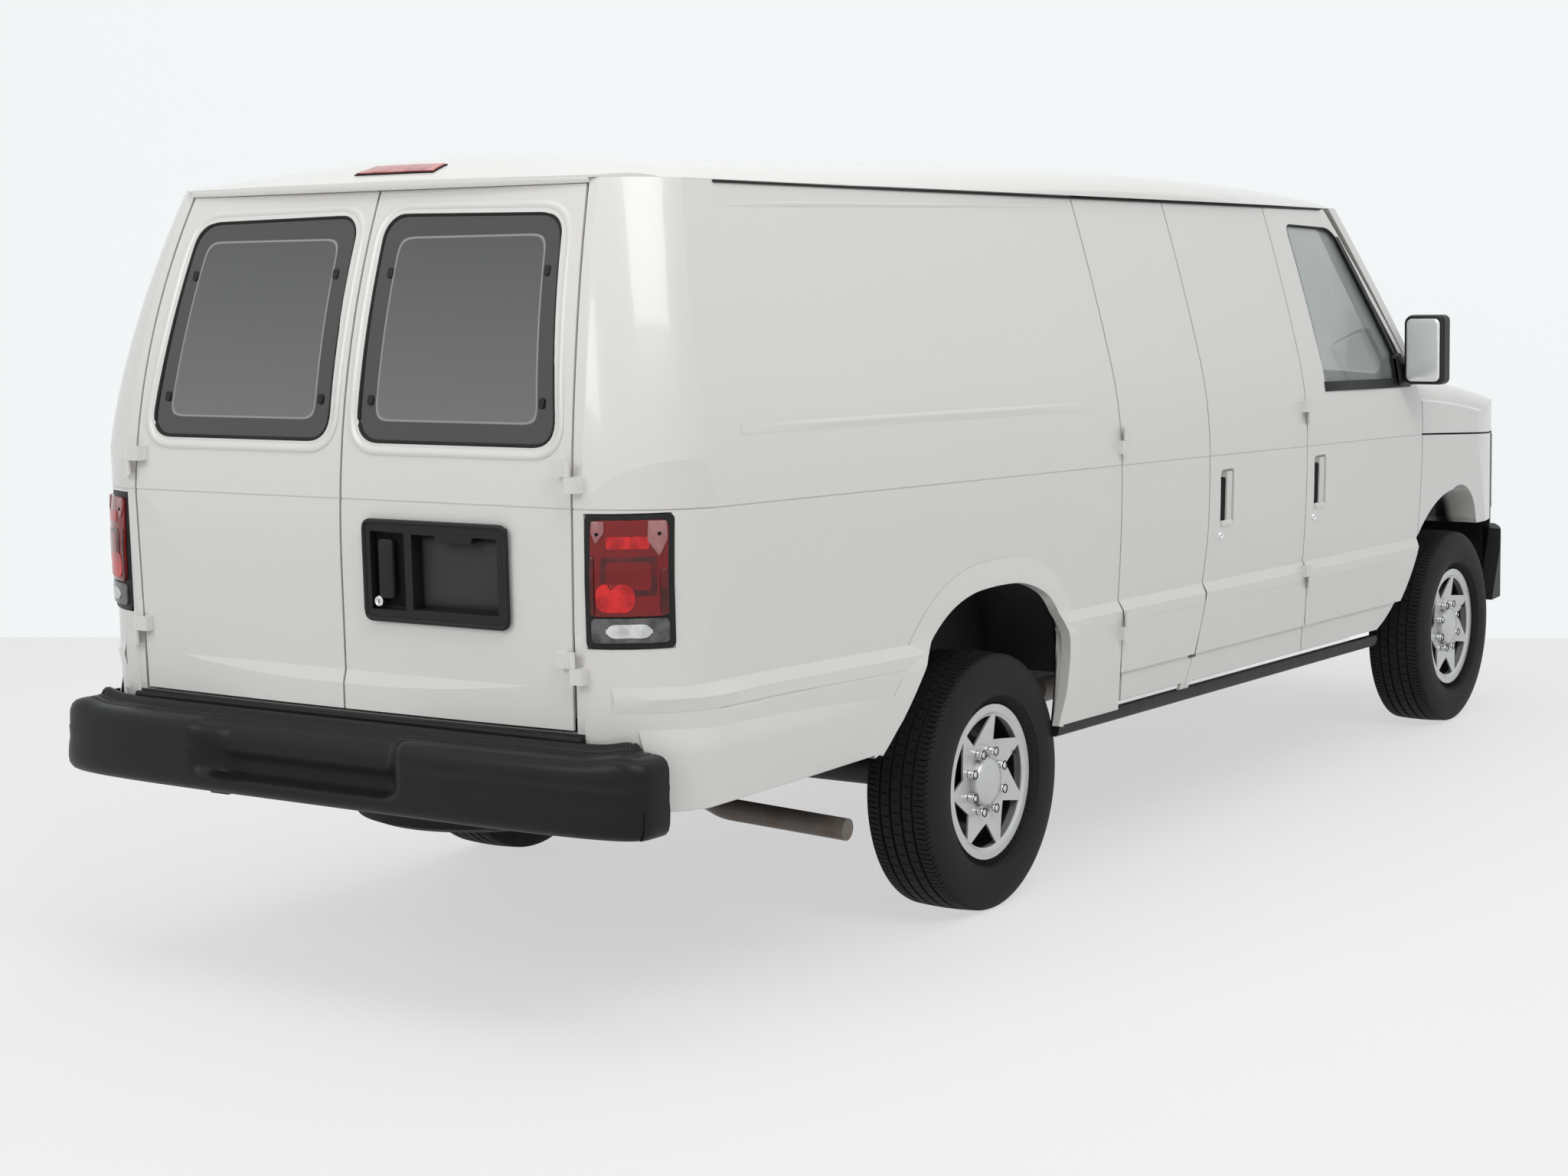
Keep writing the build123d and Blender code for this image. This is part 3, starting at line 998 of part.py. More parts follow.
kingpin_y = FRONT_TRACK / 2 - KINGPIN_INSET
knuckle = Pos(FRONT_AXLE_X, kingpin_y, UPRIGHT_LOW) * Cylinder(
    24, UPRIGHT_HIGH - UPRIGHT_LOW, align=(Align.CENTER, Align.CENTER, Align.MIN))
front_hub = spun((0, -KINGPIN_INSET), (38, -KINGPIN_INSET), (38, -66), (165, -62), (165, -34), (105, -30),
                 (105, DISC_FACE - SLIP), (HUB_RADIUS, DISC_FACE - SLIP), (HUB_RADIUS, 40), (0, 40))
knuckle += at_wheel(front_hub, "front", LEFT)
ARM_REACH = 150
knuckle += box(FRONT_AXLE_X - ARM_REACH, FRONT_AXLE_X, kingpin_y - 14, kingpin_y + 16, 300, 330)
node("knuckle_left", knuckle)
node("knuckle_right", mirror(knuckle, Plane.XZ))

BEAM_OFFSET = 32


def beam_arm(offset_x):
    """Swinging beam that carries the left knuckle and pivots right of the middle."""
    x = FRONT_AXLE_X + offset_x
    bar = extrude(Pos(x - 22, 0, 0) * (Plane.YZ * loop(
        (PIVOT_Y - 30, 372), (PIVOT_Y - 30, PIVOT_TOP_Z), (PIVOT_Y + 30, PIVOT_TOP_Z), (600, 405), (kingpin_y - 66, 405),
        (kingpin_y - 66, 335), (600, 335), (PIVOT_Y + 30, 372))), amount=44)
    yoke = box(FRONT_AXLE_X - 38, FRONT_AXLE_X + 38, kingpin_y - 90, kingpin_y - 60, UPRIGHT_LOW - 22, UPRIGHT_HIGH + 22)
    for z in (UPRIGHT_LOW - 22, UPRIGHT_HIGH + SLIP):
        yoke += box(FRONT_AXLE_X - 26, FRONT_AXLE_X + 26, kingpin_y - 90, kingpin_y + 14, z, z + 22 - SLIP)
    return bar + yoke


left_beam = beam_arm(-BEAM_OFFSET)
right_beam = mirror(beam_arm(BEAM_OFFSET), Plane.XZ)
coil = Pos(FRONT_AXLE_X - BEAM_OFFSET, COIL_Y, 404) * Cylinder(55, COIL_TOP_Z - 404, align=(Align.CENTER, Align.CENTER, Align.MIN))
coil_right = Pos(FRONT_AXLE_X + BEAM_OFFSET, -COIL_Y, 404) * Cylinder(
    55, COIL_TOP_Z - 404, align=(Align.CENTER, Align.CENTER, Align.MIN))
node("front_axle", left_beam + coil, right_beam + coil_right)

# ---------------------------------------------------------------- cab interior
SEAT_Y = 525
SEAT_HALF = 240
SEAT_REAR_X = 400
seat_base = box(SEAT_REAR_X + 60, SEAT_REAR_X + 520, SEAT_Y - 180, SEAT_Y + 180,
                raked(FLOOR_Z, SEAT_REAR_X + 60) + 0.3, 880)
cushion = fillet(box(SEAT_REAR_X + 90, SEAT_REAR_X + 600, SEAT_Y - SEAT_HALF, SEAT_Y + SEAT_HALF, 880, 1010).edges(), 40)
back_rest = across(loop((SEAT_REAR_X + 60, 960), (SEAT_REAR_X + 190, 1010), (SEAT_REAR_X + 70, 1560),
                        (SEAT_REAR_X - 30, 1560)), SEAT_Y - SEAT_HALF + 10, SEAT_Y + SEAT_HALF - 10)
back_rest = fillet(back_rest.edges().filter_by(Axis.Y, reverse=True), 22)
seat = seat_base + cushion + back_rest
node("seats", *sides(seat))

DASH_REAR_X = 1560
dash_block = across(loop((DASH_REAR_X + 90, 1020), (DASH_REAR_X, 1120), (DASH_REAR_X + 10, 1290), (DASH_REAR_X + 60, 1322),
                   (FIREWALL_X - 0.3, 1322), (FIREWALL_X - 0.3, 1080)), -895, 895)
dash = dash_block - engine_cover(-0.3)
COLUMN_Y = 440
WHEEL_HUB = Vector(1390, COLUMN_Y, 1255)
COLUMN_WAY = Vector(cos(radians(32)), 0, -sin(radians(32)))
steering_wheel = Plane(origin=WHEEL_HUB, z_dir=COLUMN_WAY) * (Torus(185, 14) + Pos(0, 0, 0) * Cylinder(45, 30))
for angle in (0, 180, 90):
    spoke = Rot(0, 0, angle) * Pos(105, 0, 0) * Box(150, 26, 12)
    steering_wheel += Plane(origin=WHEEL_HUB, z_dir=COLUMN_WAY) * spoke
column = rod(tuple(WHEEL_HUB + COLUMN_WAY * 15.3), tuple(WHEEL_HUB + COLUMN_WAY * 330), 38)
node("dash", dash + column)
node("steering_wheel", steering_wheel)

# ---------------------------------------------------------------- door furniture
MIRROR_X = 1660
mirror_head = fillet(box(MIRROR_X, MIRROR_X + 85, -1160, -1012, 1345, 1598).edges(), 22)
mirror_arm = box(MIRROR_X + 30, MIRROR_X + 60, -1030, -HALF_WIDTH + GLASS_INSET + 6, 1372, 1420)
mirror_foot = side_layer(-10, 10 - 0.3, 1640, 1790) & box(1640, 1790, -1100, -900, 1345, 1440)
mirror_right = mirror_head + mirror_arm + mirror_foot
node("mirror_right", mirror_right)
node("mirror_left", mirror(mirror_right, Plane.XZ))

PLATE_ROOM = (-548, -96, 1006, 1242)
PLATE_MID_Y = -388
PLATE_PITCH = 178          # between the two bolts of a number plate
PLATE_BOLT_Z = 1190


def plate_box(x0, x1, grow):
    y0, y1, z0, z1 = PLATE_ROOM
    return box(x0, x1, y0 - grow, y1 + grow, z0 - grow, z1 + grow)


housing_face = REAR_FACE_X - 12
plate_housing = plate_box(housing_face, REAR_FACE_X + 30, 0) - box(housing_face - 1, REAR_FACE_X + 24, -526, -250, 1030, 1218)
plate_housing -= box(housing_face - 1, REAR_FACE_X + 14, -226, -112, 1026, 1222)
PLATE_BOLT = 3.5
for bolt_y in (PLATE_MID_Y - PLATE_PITCH / 2, PLATE_MID_Y + PLATE_PITCH / 2):
    plate_housing -= rod((housing_face - 1, bolt_y, PLATE_BOLT_Z), (REAR_FACE_X + 31, bolt_y, PLATE_BOLT_Z), PLATE_BOLT)
node("plate_housing", plate_housing)
node("rear_door_right", mirror(rear_door_left, Plane.XZ) - plate_box(REAR_FACE_X - 40, REAR_FACE_X + 30.3, 1))

FUEL_X = -330
FUEL_Z = 1010
FUEL_HALF_X = 90
FUEL_HALF_Z = 85
FUEL_DEEP = 30
LID = 6
PIN = 3.5                  # radius of the lid's hinge
FUEL_AXIS_X = FUEL_X + FUEL_HALF_X - 11
FUEL_AXIS_Y = 996


def lid_barrel(low, high):
    return Pos(FUEL_AXIS_X, FUEL_AXIS_Y, low) * Cylinder(PIN, high - low, align=(Align.CENTER, Align.CENTER, Align.MIN))


def fuel_block(shrink, low, high):
    return box(FUEL_X - FUEL_HALF_X + shrink, FUEL_X + FUEL_HALF_X - shrink, 900, 1100, low, high)


fuel_low, fuel_high = FUEL_Z - FUEL_HALF_Z, FUEL_Z + FUEL_HALF_Z
fuel_room = fuel_block(0, fuel_low, fuel_high)
fuel_lid = mirror(side_layer(0, LID, -500, 0), Plane.XZ) & fuel_block(GAP, fuel_low + GAP, fuel_high - GAP)
fuel_lid -= box(FUEL_AXIS_X - 9, FUEL_AXIS_X + 9, 900, 1100, FUEL_Z - 35, FUEL_Z + SEAT / 2)
fuel_lid += lid_barrel(FUEL_Z + SEAT / 2, FUEL_Z + 30)
node("fuel_door", fuel_lid)
side_left = side_left - (mirror(side_layer(-5, FUEL_DEEP + 5, -500, 0), Plane.XZ) & fuel_room)
side_left += lid_barrel(FUEL_Z - 30, FUEL_Z - SEAT / 2)
side_left += box(FUEL_AXIS_X, FUEL_X + FUEL_HALF_X + 2, FUEL_AXIS_Y - 3, FUEL_AXIS_Y + 2, FUEL_Z - 30, FUEL_Z - SEAT / 2)
node("side_left", side_left)
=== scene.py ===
"""Looks for the full-size panel van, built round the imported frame.

Every length is in metres, in the frame of the CAD: X forward, Y to the driver's side, Z up.
"""
import json
from math import atan2, cos, pi, radians, sin

import bmesh
import bpy
import numpy as np
from mathutils import Matrix, Vector


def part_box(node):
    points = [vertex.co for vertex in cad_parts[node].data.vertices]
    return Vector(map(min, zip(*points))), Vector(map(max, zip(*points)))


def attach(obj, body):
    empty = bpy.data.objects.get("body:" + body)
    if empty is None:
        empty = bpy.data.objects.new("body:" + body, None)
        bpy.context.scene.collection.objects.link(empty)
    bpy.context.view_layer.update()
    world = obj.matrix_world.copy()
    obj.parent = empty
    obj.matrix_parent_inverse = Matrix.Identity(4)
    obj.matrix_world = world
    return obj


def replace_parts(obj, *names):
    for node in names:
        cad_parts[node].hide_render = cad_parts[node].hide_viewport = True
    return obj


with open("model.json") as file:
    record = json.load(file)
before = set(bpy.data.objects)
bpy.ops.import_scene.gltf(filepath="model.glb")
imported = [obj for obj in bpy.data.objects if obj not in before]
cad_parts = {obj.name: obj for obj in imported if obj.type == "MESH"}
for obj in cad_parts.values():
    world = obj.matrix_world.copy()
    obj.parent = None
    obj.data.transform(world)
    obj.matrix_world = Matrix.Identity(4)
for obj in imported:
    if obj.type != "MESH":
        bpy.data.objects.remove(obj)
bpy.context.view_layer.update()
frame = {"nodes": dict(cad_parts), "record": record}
LEFT, RIGHT = 1, -1
SIDE_NAMES = {LEFT: "left", RIGHT: "right"}


# ---------------------------------------------------------------- shader wiring
class Wire:
    """One shader value; arithmetic on it adds Math nodes to its finish."""

    def __init__(self, finish, socket):
        self.finish, self.socket = finish, socket

    def math(self, operation, *values):
        return self.finish.add("ShaderNodeMath", {"operation": operation}, dict(enumerate(values)))

    def __abs__(self):
        return self.math("ABSOLUTE", self)

    def step(self, low, high):
        """0 below low, 1 above high and a smooth rise between."""
        return self.finish.add(
            "ShaderNodeMapRange", {"interpolation_type": "SMOOTHSTEP"},
            {0: self, 1: low, 2: high, 3: 0.0, 4: 1.0})

    def soft_low_of(self, other, reach):
        return self.math("SMOOTH_MIN", self, other, reach)

    def sine(self):
        return self.math("SINE", self)


for sign, operation in {"add": "ADD", "sub": "SUBTRACT", "mul": "MULTIPLY", "truediv": "DIVIDE"}.items():
    setattr(Wire, f"__{sign}__", lambda self, other, operation=operation: self.math(operation, self, other))
    setattr(Wire, f"__r{sign}__", lambda self, other, operation=operation: self.math(operation, other, self))
for sign, operation in {"gt": "GREATER_THAN", "lt": "LESS_THAN"}.items():
    setattr(Wire, f"__{sign}__", lambda self, other, operation=operation: self.math(operation, self, other))


class Finish:
    """A material and the few ways its nodes are made."""

    def __init__(self, name, **constants):
        self.material = bpy.data.materials.new(name)
        self.material.use_nodes = True
        self.tree = self.material.node_tree
        self.shader = self.tree.nodes["Principled BSDF"]
        for label, value in constants.items():
            self.shader.inputs[label.replace("_", " ")].default_value = value
        self.spots = {}

    def add(self, kind, settings=None, sockets=None, out=0):
        """Adds a node: its settings first, then a value or a link for each socket."""
        node = self.tree.nodes.new(kind)
        for label, value in (settings or {}).items():
            setattr(node, label, value)
        for label, value in (sockets or {}).items():
            self.feed(node.inputs[label], value)
        return Wire(self, node.outputs[out])

    def feed(self, socket, value):
        if isinstance(value, Wire):
            self.tree.links.new(value.socket, socket)
        elif isinstance(value, tuple) and len(value) == 3 and socket.type == "RGBA":
            socket.default_value = (*value, 1)
        else:
            socket.default_value = value

    def link(self, label, value):
        self.feed(self.shader.inputs[label], value)
        return self

    def kept(self, label, make):
        """A value of the finish that is made once and used again."""
        if label not in self.spots:
            self.spots[label] = make()
        return self.spots[label]

    def parts(self, whole):
        first = self.add("ShaderNodeSeparateXYZ", sockets={0: whole})
        return [Wire(self, out) for out in first.socket.node.outputs]

    @property
    def place(self):
        """Object coordinates, which are the frame's own."""
        return self.kept("place", lambda: self.add("ShaderNodeTexCoord", out="Object"))

    @property
    def xyz(self):
        return self.kept("xyz", lambda: self.parts(self.place))

    @property
    def facing(self):
        """The three parts of the surface's own direction."""
        return self.kept("facing", lambda: self.parts(self.add("ShaderNodeNewGeometry", out="Normal")))

    def noise(self, scale, detail=2.0):
        return self.add(
            "ShaderNodeTexNoise", sockets={"Vector": self.place, "Scale": scale, "Detail": detail})

    def cells(self, scale):
        return self.add("ShaderNodeTexVoronoi", sockets={"Vector": self.place, "Scale": scale})

    def mix(self, share, first, second):
        return self.add("ShaderNodeMix", {"data_type": "RGBA"}, {0: share, 6: first, 7: second}, out=2)

    def bump(self, height, strength, distance=0.001):
        self.link("Normal", self.add("ShaderNodeBump",
                                     sockets={"Strength": strength, "Distance": distance, "Height": height}))
        return self


def tinted(colour, factor):
    return tuple(min(1.0, c * factor) for c in colour)


# ---------------------------------------------------------------- finishes
PAINT = (0.770, 0.757, 0.728)
PAINT_LOW_DARKER = (0.640, 0.625, 0.590)
BLACK = (0.016, 0.016, 0.017)
RUBBER = (0.012, 0.012, 0.0125)
CHROME = (0.80, 0.80, 0.81)
PANE_FOOT = 1.440                  # height of the tail panes' lower edge


def body_paint(name="body_paint", dark_inside=None):
    """Warm white enamel: faint clouds, darker in noisy patches towards the bottom, orange peel under a clear
    coat, and painted shade where dark_inside is given.
    """
    paint = Finish(name, Coat_Weight=0.5, Coat_Roughness=0.06, Specular_IOR_Level=0.45)
    height = paint.xyz[2]
    cloud = paint.noise(1.3, 3.0)
    # darker in noisy patches below about 0.95 m, most at the bottom
    low_darkening = (1 - height.step(0.42, 0.95)) * (paint.noise(5.0, 4.0) * 0.35)
    shade = paint.mix(cloud * 0.5, PAINT, tinted(PAINT, 0.975))
    shade = paint.mix(low_darkening, shade, PAINT_LOW_DARKER)
    if dark_inside:
        # painted shade: where dark_inside gives 1 the enamel turns near black, for the shade in the wheel
        # arches
        shade = paint.mix(dark_inside(paint), shade, (0.012, 0.012, 0.012))
    paint.link("Base Color", shade).link("Roughness", paint.noise(9.0, 2.0) * 0.06 + 0.27)
    return paint.bump(paint.noise(420.0, 1.0), 0.03, 0.0004).material


def moulded(name, colour, rough, grain=900.0, depth=0.35, spec=0.2):
    """Grained plastic: a leather-like cell grain, slightly paler where it is scuffed."""
    plastic = Finish(name, Specular_IOR_Level=spec)
    scuff = plastic.noise(7.0, 5.0).step(0.55, 0.8)
    plastic.link("Base Color", plastic.mix(scuff * 0.5, colour, tinted(colour, 1.7)))
    plastic.link("Roughness", plastic.noise(30.0, 3.0) * 0.12 + rough - 0.06)
    return plastic.bump(plastic.cells(grain), depth, 0.0004).material


def cast(name, colour, rough=0.62, rust=(0.11, 0.055, 0.03), rusting=0.35):
    """Rough metal with a sandy skin and patches of rust."""
    metal = Finish(name, Specular_IOR_Level=0.4)
    patch = metal.noise(11.0, 6.0).step(0.5, 0.72) * rusting
    metal.link("Base Color", metal.mix(patch, colour, rust))
    metal.link("Roughness", metal.noise(40.0, 3.0) * 0.25 + rough - 0.12)
    return metal.bump(metal.noise(160.0, 4.0), 0.5, 0.0006).material


def bright(name, colour, rough, metallic=1.0):
    """Bright metal or silver lacquer with a faint turned grain."""
    metal = Finish(name, Metallic=metallic)
    metal.link("Base Color", metal.mix(metal.noise(6.0, 3.0), tinted(colour, 0.93), colour))
    metal.link("Roughness", metal.noise(55.0, 2.0) * 0.10 + rough - 0.04)
    return metal.bump(metal.noise(700.0, 1.0), 0.04, 0.0003).material


def wheel_silver():
    """Silver lacquered cover; what lies behind its openings is in dull black shade."""
    silver = Finish("cover_silver", Metallic=0.55, Coat_Weight=0.25, Coat_Roughness=0.15)
    forward, sideways, _ = silver.xyz
    face = 0.939 + (forward > 0.5) * 0.0305
    depth = face - abs(sideways)
    hidden = depth.step(0.030, 0.036)
    grime = silver.noise(14.0, 4.0).step(0.45, 0.8) * 0.25
    shade = silver.mix(grime, (0.60, 0.605, 0.60), (0.42, 0.41, 0.39))
    silver.link("Base Color", silver.mix(hidden, shade, (0.02, 0.02, 0.021)))
    silver.link("Roughness", silver.noise(30.0, 2.0) * 0.08 + 0.30 + hidden * 0.3)
    return silver.bump(silver.noise(500.0, 1.0), 0.05, 0.0003).material


def tyre_rubber():
    """Matt black rubber, a little greyer where it has met the road."""
    rubber = Finish("tyre_rubber", Specular_IOR_Level=0.16)
    worn = rubber.noise(18.0, 5.0)
    rubber.link("Base Color", rubber.mix(worn, RUBBER, (0.024, 0.024, 0.025)))
    rubber.link("Roughness", worn * 0.2 + 0.55)
    return rubber.bump(rubber.noise(900.0, 2.0), 0.25, 0.0004).material


def clear_glass():
    """Thin clear glass: see-through, with a faint dusty film; at a glancing view it is made less clear,
    showing its real coat gloss and its grey colour as a painted reflection.
    """
    glass = Finish("window_glass", Specular_IOR_Level=0.9, Coat_Weight=1.0, Coat_Roughness=0.0)
    film = glass.noise(3.0, 4.0).step(0.45, 0.9)
    # painted reflection: at a glancing view the glass turns less clear, so its grey colour shows there
    # besides the real coat gloss
    rim = glass.add("ShaderNodeLayerWeight", sockets={"Blend": 0.22}, out=0)
    glass.link("Base Color", glass.mix(film, (0.42, 0.47, 0.46), (0.60, 0.62, 0.61)))
    glass.link("Roughness", film * 0.06 + 0.02)
    glass.link("Alpha", rim * 0.55 + film * 0.04 + 0.10)
    return glass.material


def privacy_glass():
    """Tail door pane: black printed border and a paler inner field that darkens upwards, the field's gradient
    painted light in the tinted glass.
    """
    glass = Finish("rear_window_glass", Specular_IOR_Level=0.5, Coat_Weight=0.35, Coat_Roughness=0.03)
    _, sideways, height = glass.xyz
    across = abs(sideways)
    foot, head, inner = height - PANE_FOOT, 2.002 - height, across - 0.050
    outer = 0.690 - across - (height - PANE_FOOT) * 0.112
    edge = foot.soft_low_of(head, 0.05).soft_low_of(inner.soft_low_of(outer, 0.05), 0.06)
    field = edge.step(0.052, 0.055)
    rim = field * (1 - edge.step(0.056, 0.060))
    # painted light: the field is paler low and darker high, standing for light seen in the glass rather than
    # its tint
    fade = (height - 1.49) / 0.46
    shade = glass.mix(fade, (0.150, 0.150, 0.148), (0.070, 0.070, 0.070))
    shade = glass.mix(field, (0.040, 0.040, 0.039), shade)
    glass.link("Base Color", glass.mix(rim, shade, (0.30, 0.30, 0.30)))
    glass.link("Roughness", glass.noise(4.0, 3.0) * 0.06 + 0.10)
    return glass.bump(glass.noise(2.0, 1.0), 0.02, 0.001).material


def red_lens():
    """Ruby lens: upright flutes, its red deeper in random patches."""
    lens = Finish("lamp_red", Coat_Weight=0.35, Coat_Roughness=0.05, Specular_IOR_Level=0.3)
    _, _, height = lens.xyz
    flute = (height * 900.0).sine()
    lens.link("Base Color", lens.mix(lens.noise(9.0, 2.0), (0.27, 0.001, 0.002), (0.15, 0.0006, 0.0015)))
    lens.link("Roughness", lens.noise(20.0, 2.0) * 0.05 + 0.10)
    return lens.bump(flute, 0.10, 0.0006).material


def glow(name, dark, pale, flutes=1100.0):
    """Faceted reflector seen through a lens: fine upright prisms, paler in random patches."""
    lens = Finish(name, Coat_Weight=0.4, Coat_Roughness=0.05, Specular_IOR_Level=0.3)
    forward, sideways, _ = lens.xyz
    prism = ((forward + sideways) * flutes).sine()
    lens.link("Base Color", lens.mix(lens.noise(24.0, 3.0).step(0.35, 0.65), dark, pale))
    lens.link("Roughness", lens.noise(40.0, 1.0) * 0.1 + 0.12)
    return lens.bump(prism, 0.35, 0.0008).material


def woven(name, colour):
    """Plain weave: two crossed sets of threads in Object coordinates, with a soft mottle."""
    cloth = Finish(name, Sheen_Weight=0.35, Sheen_Roughness=0.5, Specular_IOR_Level=0.2)
    forward, sideways, height = cloth.xyz
    scale = 900.0
    thread = (sideways * scale).sine() * ((forward + height) * scale).sine()
    tone = thread * 0.25 + cloth.noise(35.0, 4.0) * 0.5
    cloth.link("Base Color", cloth.mix(tone, tinted(colour, 0.75), tinted(colour, 1.35)))
    cloth.link("Roughness", cloth.noise(50.0, 2.0) * 0.1 + 0.8)
    return cloth.bump(thread, 0.5, 0.0005).material


def floor_finish():
    """Load floor: ribbed grey paint on top, black undercoat on every face turned down or outwards."""
    paint = Finish("floor_paint", Specular_IOR_Level=0.4)
    height = paint.xyz[2] + paint.xyz[0] * 0.022
    top = (paint.facing[2] > 0.6) * (height > 0.675) * (height < 0.70)
    worn = paint.noise(12.0, 5.0).step(0.4, 0.75) * 0.4
    shade = paint.mix(worn, (0.42, 0.42, 0.41), (0.30, 0.30, 0.29))
    paint.link("Base Color", paint.mix(top, (0.020, 0.020, 0.021), shade))
    paint.link("Roughness", paint.noise(25.0, 3.0) * 0.2 + 0.5)
    ribs = (paint.xyz[1] * 120.0).sine()
    return paint.bump(ribs * top + paint.noise(90.0, 4.0) * 0.4, 0.4, 0.003).material


def arch_shadow(finish):
    """1 on the inner arch of the fenders, 0 on their painted outer skin."""
    return 1 - abs(finish.xyz[1]).step(0.86, 0.90)


def wheel_well_shadow(finish):
    """1 on the turned-in edges round the rear wheel arch, 0 on the painted skin and away from the arch."""
    forward, sideways, height = finish.xyz
    near = forward.step(-1.97, -1.95) * (1 - forward.step(-0.890, -0.885)) * (1 - height.step(0.962, 0.972))
    return near * (1 - abs(sideways).step(0.958, 0.966))


FINISHES = {"body_paint": body_paint(), "frame_black": moulded("frame_black", (0.020, 0.020, 0.021), 0.5,
        300.0, 0.2), "black_plastic": moulded("black_plastic", BLACK, 0.42),
            "trim_plastic": moulded("trim_plastic", (0.075, 0.075, 0.078), 0.6),
            "floor_paint": floor_finish(), "bumper_metal": moulded("bumper_metal", (0.0065, 0.0065, 0.007),
        0.40, 500.0, 0.10, 0.22), "front_bumper_plastic": moulded("front_bumper_plastic",
        (0.022, 0.022, 0.023), 0.5), "window_glass": clear_glass(), "lamp_red": red_lens(),
            "lamp_clear": glow("lamp_clear", (0.55, 0.56, 0.57), (0.80, 0.81, 0.82)),
            "cover_silver": wheel_silver(), "tyre_rubber": tyre_rubber(),
            "cast_steel": cast("cast_steel", (0.045, 0.042, 0.040)),
            "exhaust_steel": cast("exhaust_steel", (0.16, 0.135, 0.115), 0.5, (0.10, 0.055, 0.035), 0.5),
            "seat_cloth": woven("seat_cloth", (0.10, 0.10, 0.105)),}
FENDER_PAINT = body_paint("fender_paint", arch_shadow)
SIDE_PAINT = body_paint("side_paint", wheel_well_shadow)
REAR_GLASS = privacy_glass()
CHROME_FINISH = bright("bright_chrome", CHROME, 0.10)
MIRROR_FINISH = bright("mirror_silver", (0.94, 0.95, 0.955), 0.12, 0.35)
SEAL_RUBBER = moulded("seal_rubber", (0.014, 0.014, 0.014), 0.6, 400.0, 0.1)
RED_GLOW = glow("red_reflector", (0.42, 0.003, 0.005), (0.80, 0.018, 0.018))
SMOKE_GLOW = glow("smoked_reflector", (0.045, 0.042, 0.043), (0.13, 0.125, 0.125))
DEEP_RED = glow("deep_red", (0.055, 0.001, 0.002), (0.12, 0.002, 0.003))
TAB_PINK = glow("tab_pink", (0.33, 0.12, 0.125), (0.42, 0.19, 0.19), 500.0)
# near-black finish named deep_shadow, for painted shade in gaps, slots and recesses
DIM_BLACK = moulded("deep_shadow", (0.004, 0.004, 0.004), 0.8, 300.0, 0.1)

NODE_SLOTS = {part["node"]: part["material_slot"] for part in frame["record"]["subparts"]}
NODE_FINISHES = {
    "fenders": FENDER_PAINT, "side_left": SIDE_PAINT, "side_right": SIDE_PAINT, "rear_glass_left": REAR_GLASS,
    "rear_glass_right": REAR_GLASS}
for node_name, shown in frame["nodes"].items():
    finish = NODE_FINISHES.get(node_name) or FINISHES[NODE_SLOTS[node_name]]
    shown.data.materials.clear()
    shown.data.materials.append(finish)


# ---------------------------------------------------------------- mesh making
def placed(name, data):
    """A new object in the scene."""
    thing = bpy.data.objects.new(name, data)
    bpy.context.scene.collection.objects.link(thing)
    return thing


def full_turn(count):
    """Angles evenly round a circle."""
    return np.linspace(0, 2 * pi, count, endpoint=False)


def spots(x, y, z):
    """An array of points from three arrays that fit each other."""
    return np.stack(np.broadcast_arrays(x, y, z), -1)


def grid_faces(rows, columns, wrap_rows, wrap_columns):
    """Corner numbers of the quads that join neighbouring points of a grid."""
    row = np.arange(rows if wrap_rows else rows - 1)[:, None]
    column = np.arange(columns if wrap_columns else columns - 1)[None, :]
    next_row, next_column = (row + 1) % rows, (column + 1) % columns
    corners = [row * columns + column, next_row * columns + column, next_row * columns + next_column,
               row * columns + next_column]
    return np.stack([c.reshape(-1) for c in np.broadcast_arrays(*corners)], 1)


def surface(name, points, body, slot, finish=None, wrap=(False, False), crease=35.0):
    """A piece from points, rows by columns by 3; doubled points merge, and normals turn outwards."""
    points = np.asarray(points, float)
    rows, columns, _ = points.shape
    mesh = bpy.data.meshes.new(name)
    mesh.from_pydata(points.reshape(-1, 3).tolist(), [], grid_faces(rows, columns, *wrap).tolist())
    return piece(name, mesh, body, slot, finish, crease)


def piece(name, mesh, body, slot, finish=None, crease=35.0):
    """Cleans a mesh, gives it its finish, and lets it ride on a body."""
    work = bmesh.new()
    work.from_mesh(mesh)
    bmesh.ops.remove_doubles(work, verts=work.verts, dist=2e-6)
    bmesh.ops.dissolve_degenerate(work, edges=work.edges, dist=1e-6)
    bmesh.ops.recalc_face_normals(work, faces=work.faces)
    work.to_mesh(mesh)
    work.free()
    mesh.shade_smooth()
    mesh.set_sharp_from_angle(angle=radians(crease))
    thing = placed(name, mesh)
    mesh.materials.append(finish or FINISHES[slot])
    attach(thing, body)
    return thing


def joined(name, blocks, body, slot, finish=None, crease=35.0):
    """One piece from several point grids, each given with its wrapping."""
    points, faces, start = [], [], 0
    for block, wrap in blocks:
        block = np.asarray(block, float)
        rows, columns, _ = block.shape
        points.append(block.reshape(-1, 3))
        faces.append(grid_faces(rows, columns, *wrap) + start)
        start += rows * columns
    mesh = bpy.data.meshes.new(name)
    mesh.from_pydata(np.concatenate(points).tolist(), [], np.concatenate(faces).tolist())
    return piece(name, mesh, body, slot, finish, crease)


def rounded_outline(width, height, radius, steps=6):
    """Rounded rectangle about the origin: four quarter circles joined by straight sides."""
    angle = np.linspace(0, pi / 2, steps)
    turns = np.concatenate([angle + quarter * pi / 2 for quarter in range(4)])
    signs = np.repeat([[1, 1], [-1, 1], [-1, -1], [1, -1]], steps, 0)
    centre = signs * [width / 2 - radius, height / 2 - radius]
    return centre + radius * np.stack([np.cos(turns), np.sin(turns)], 1)


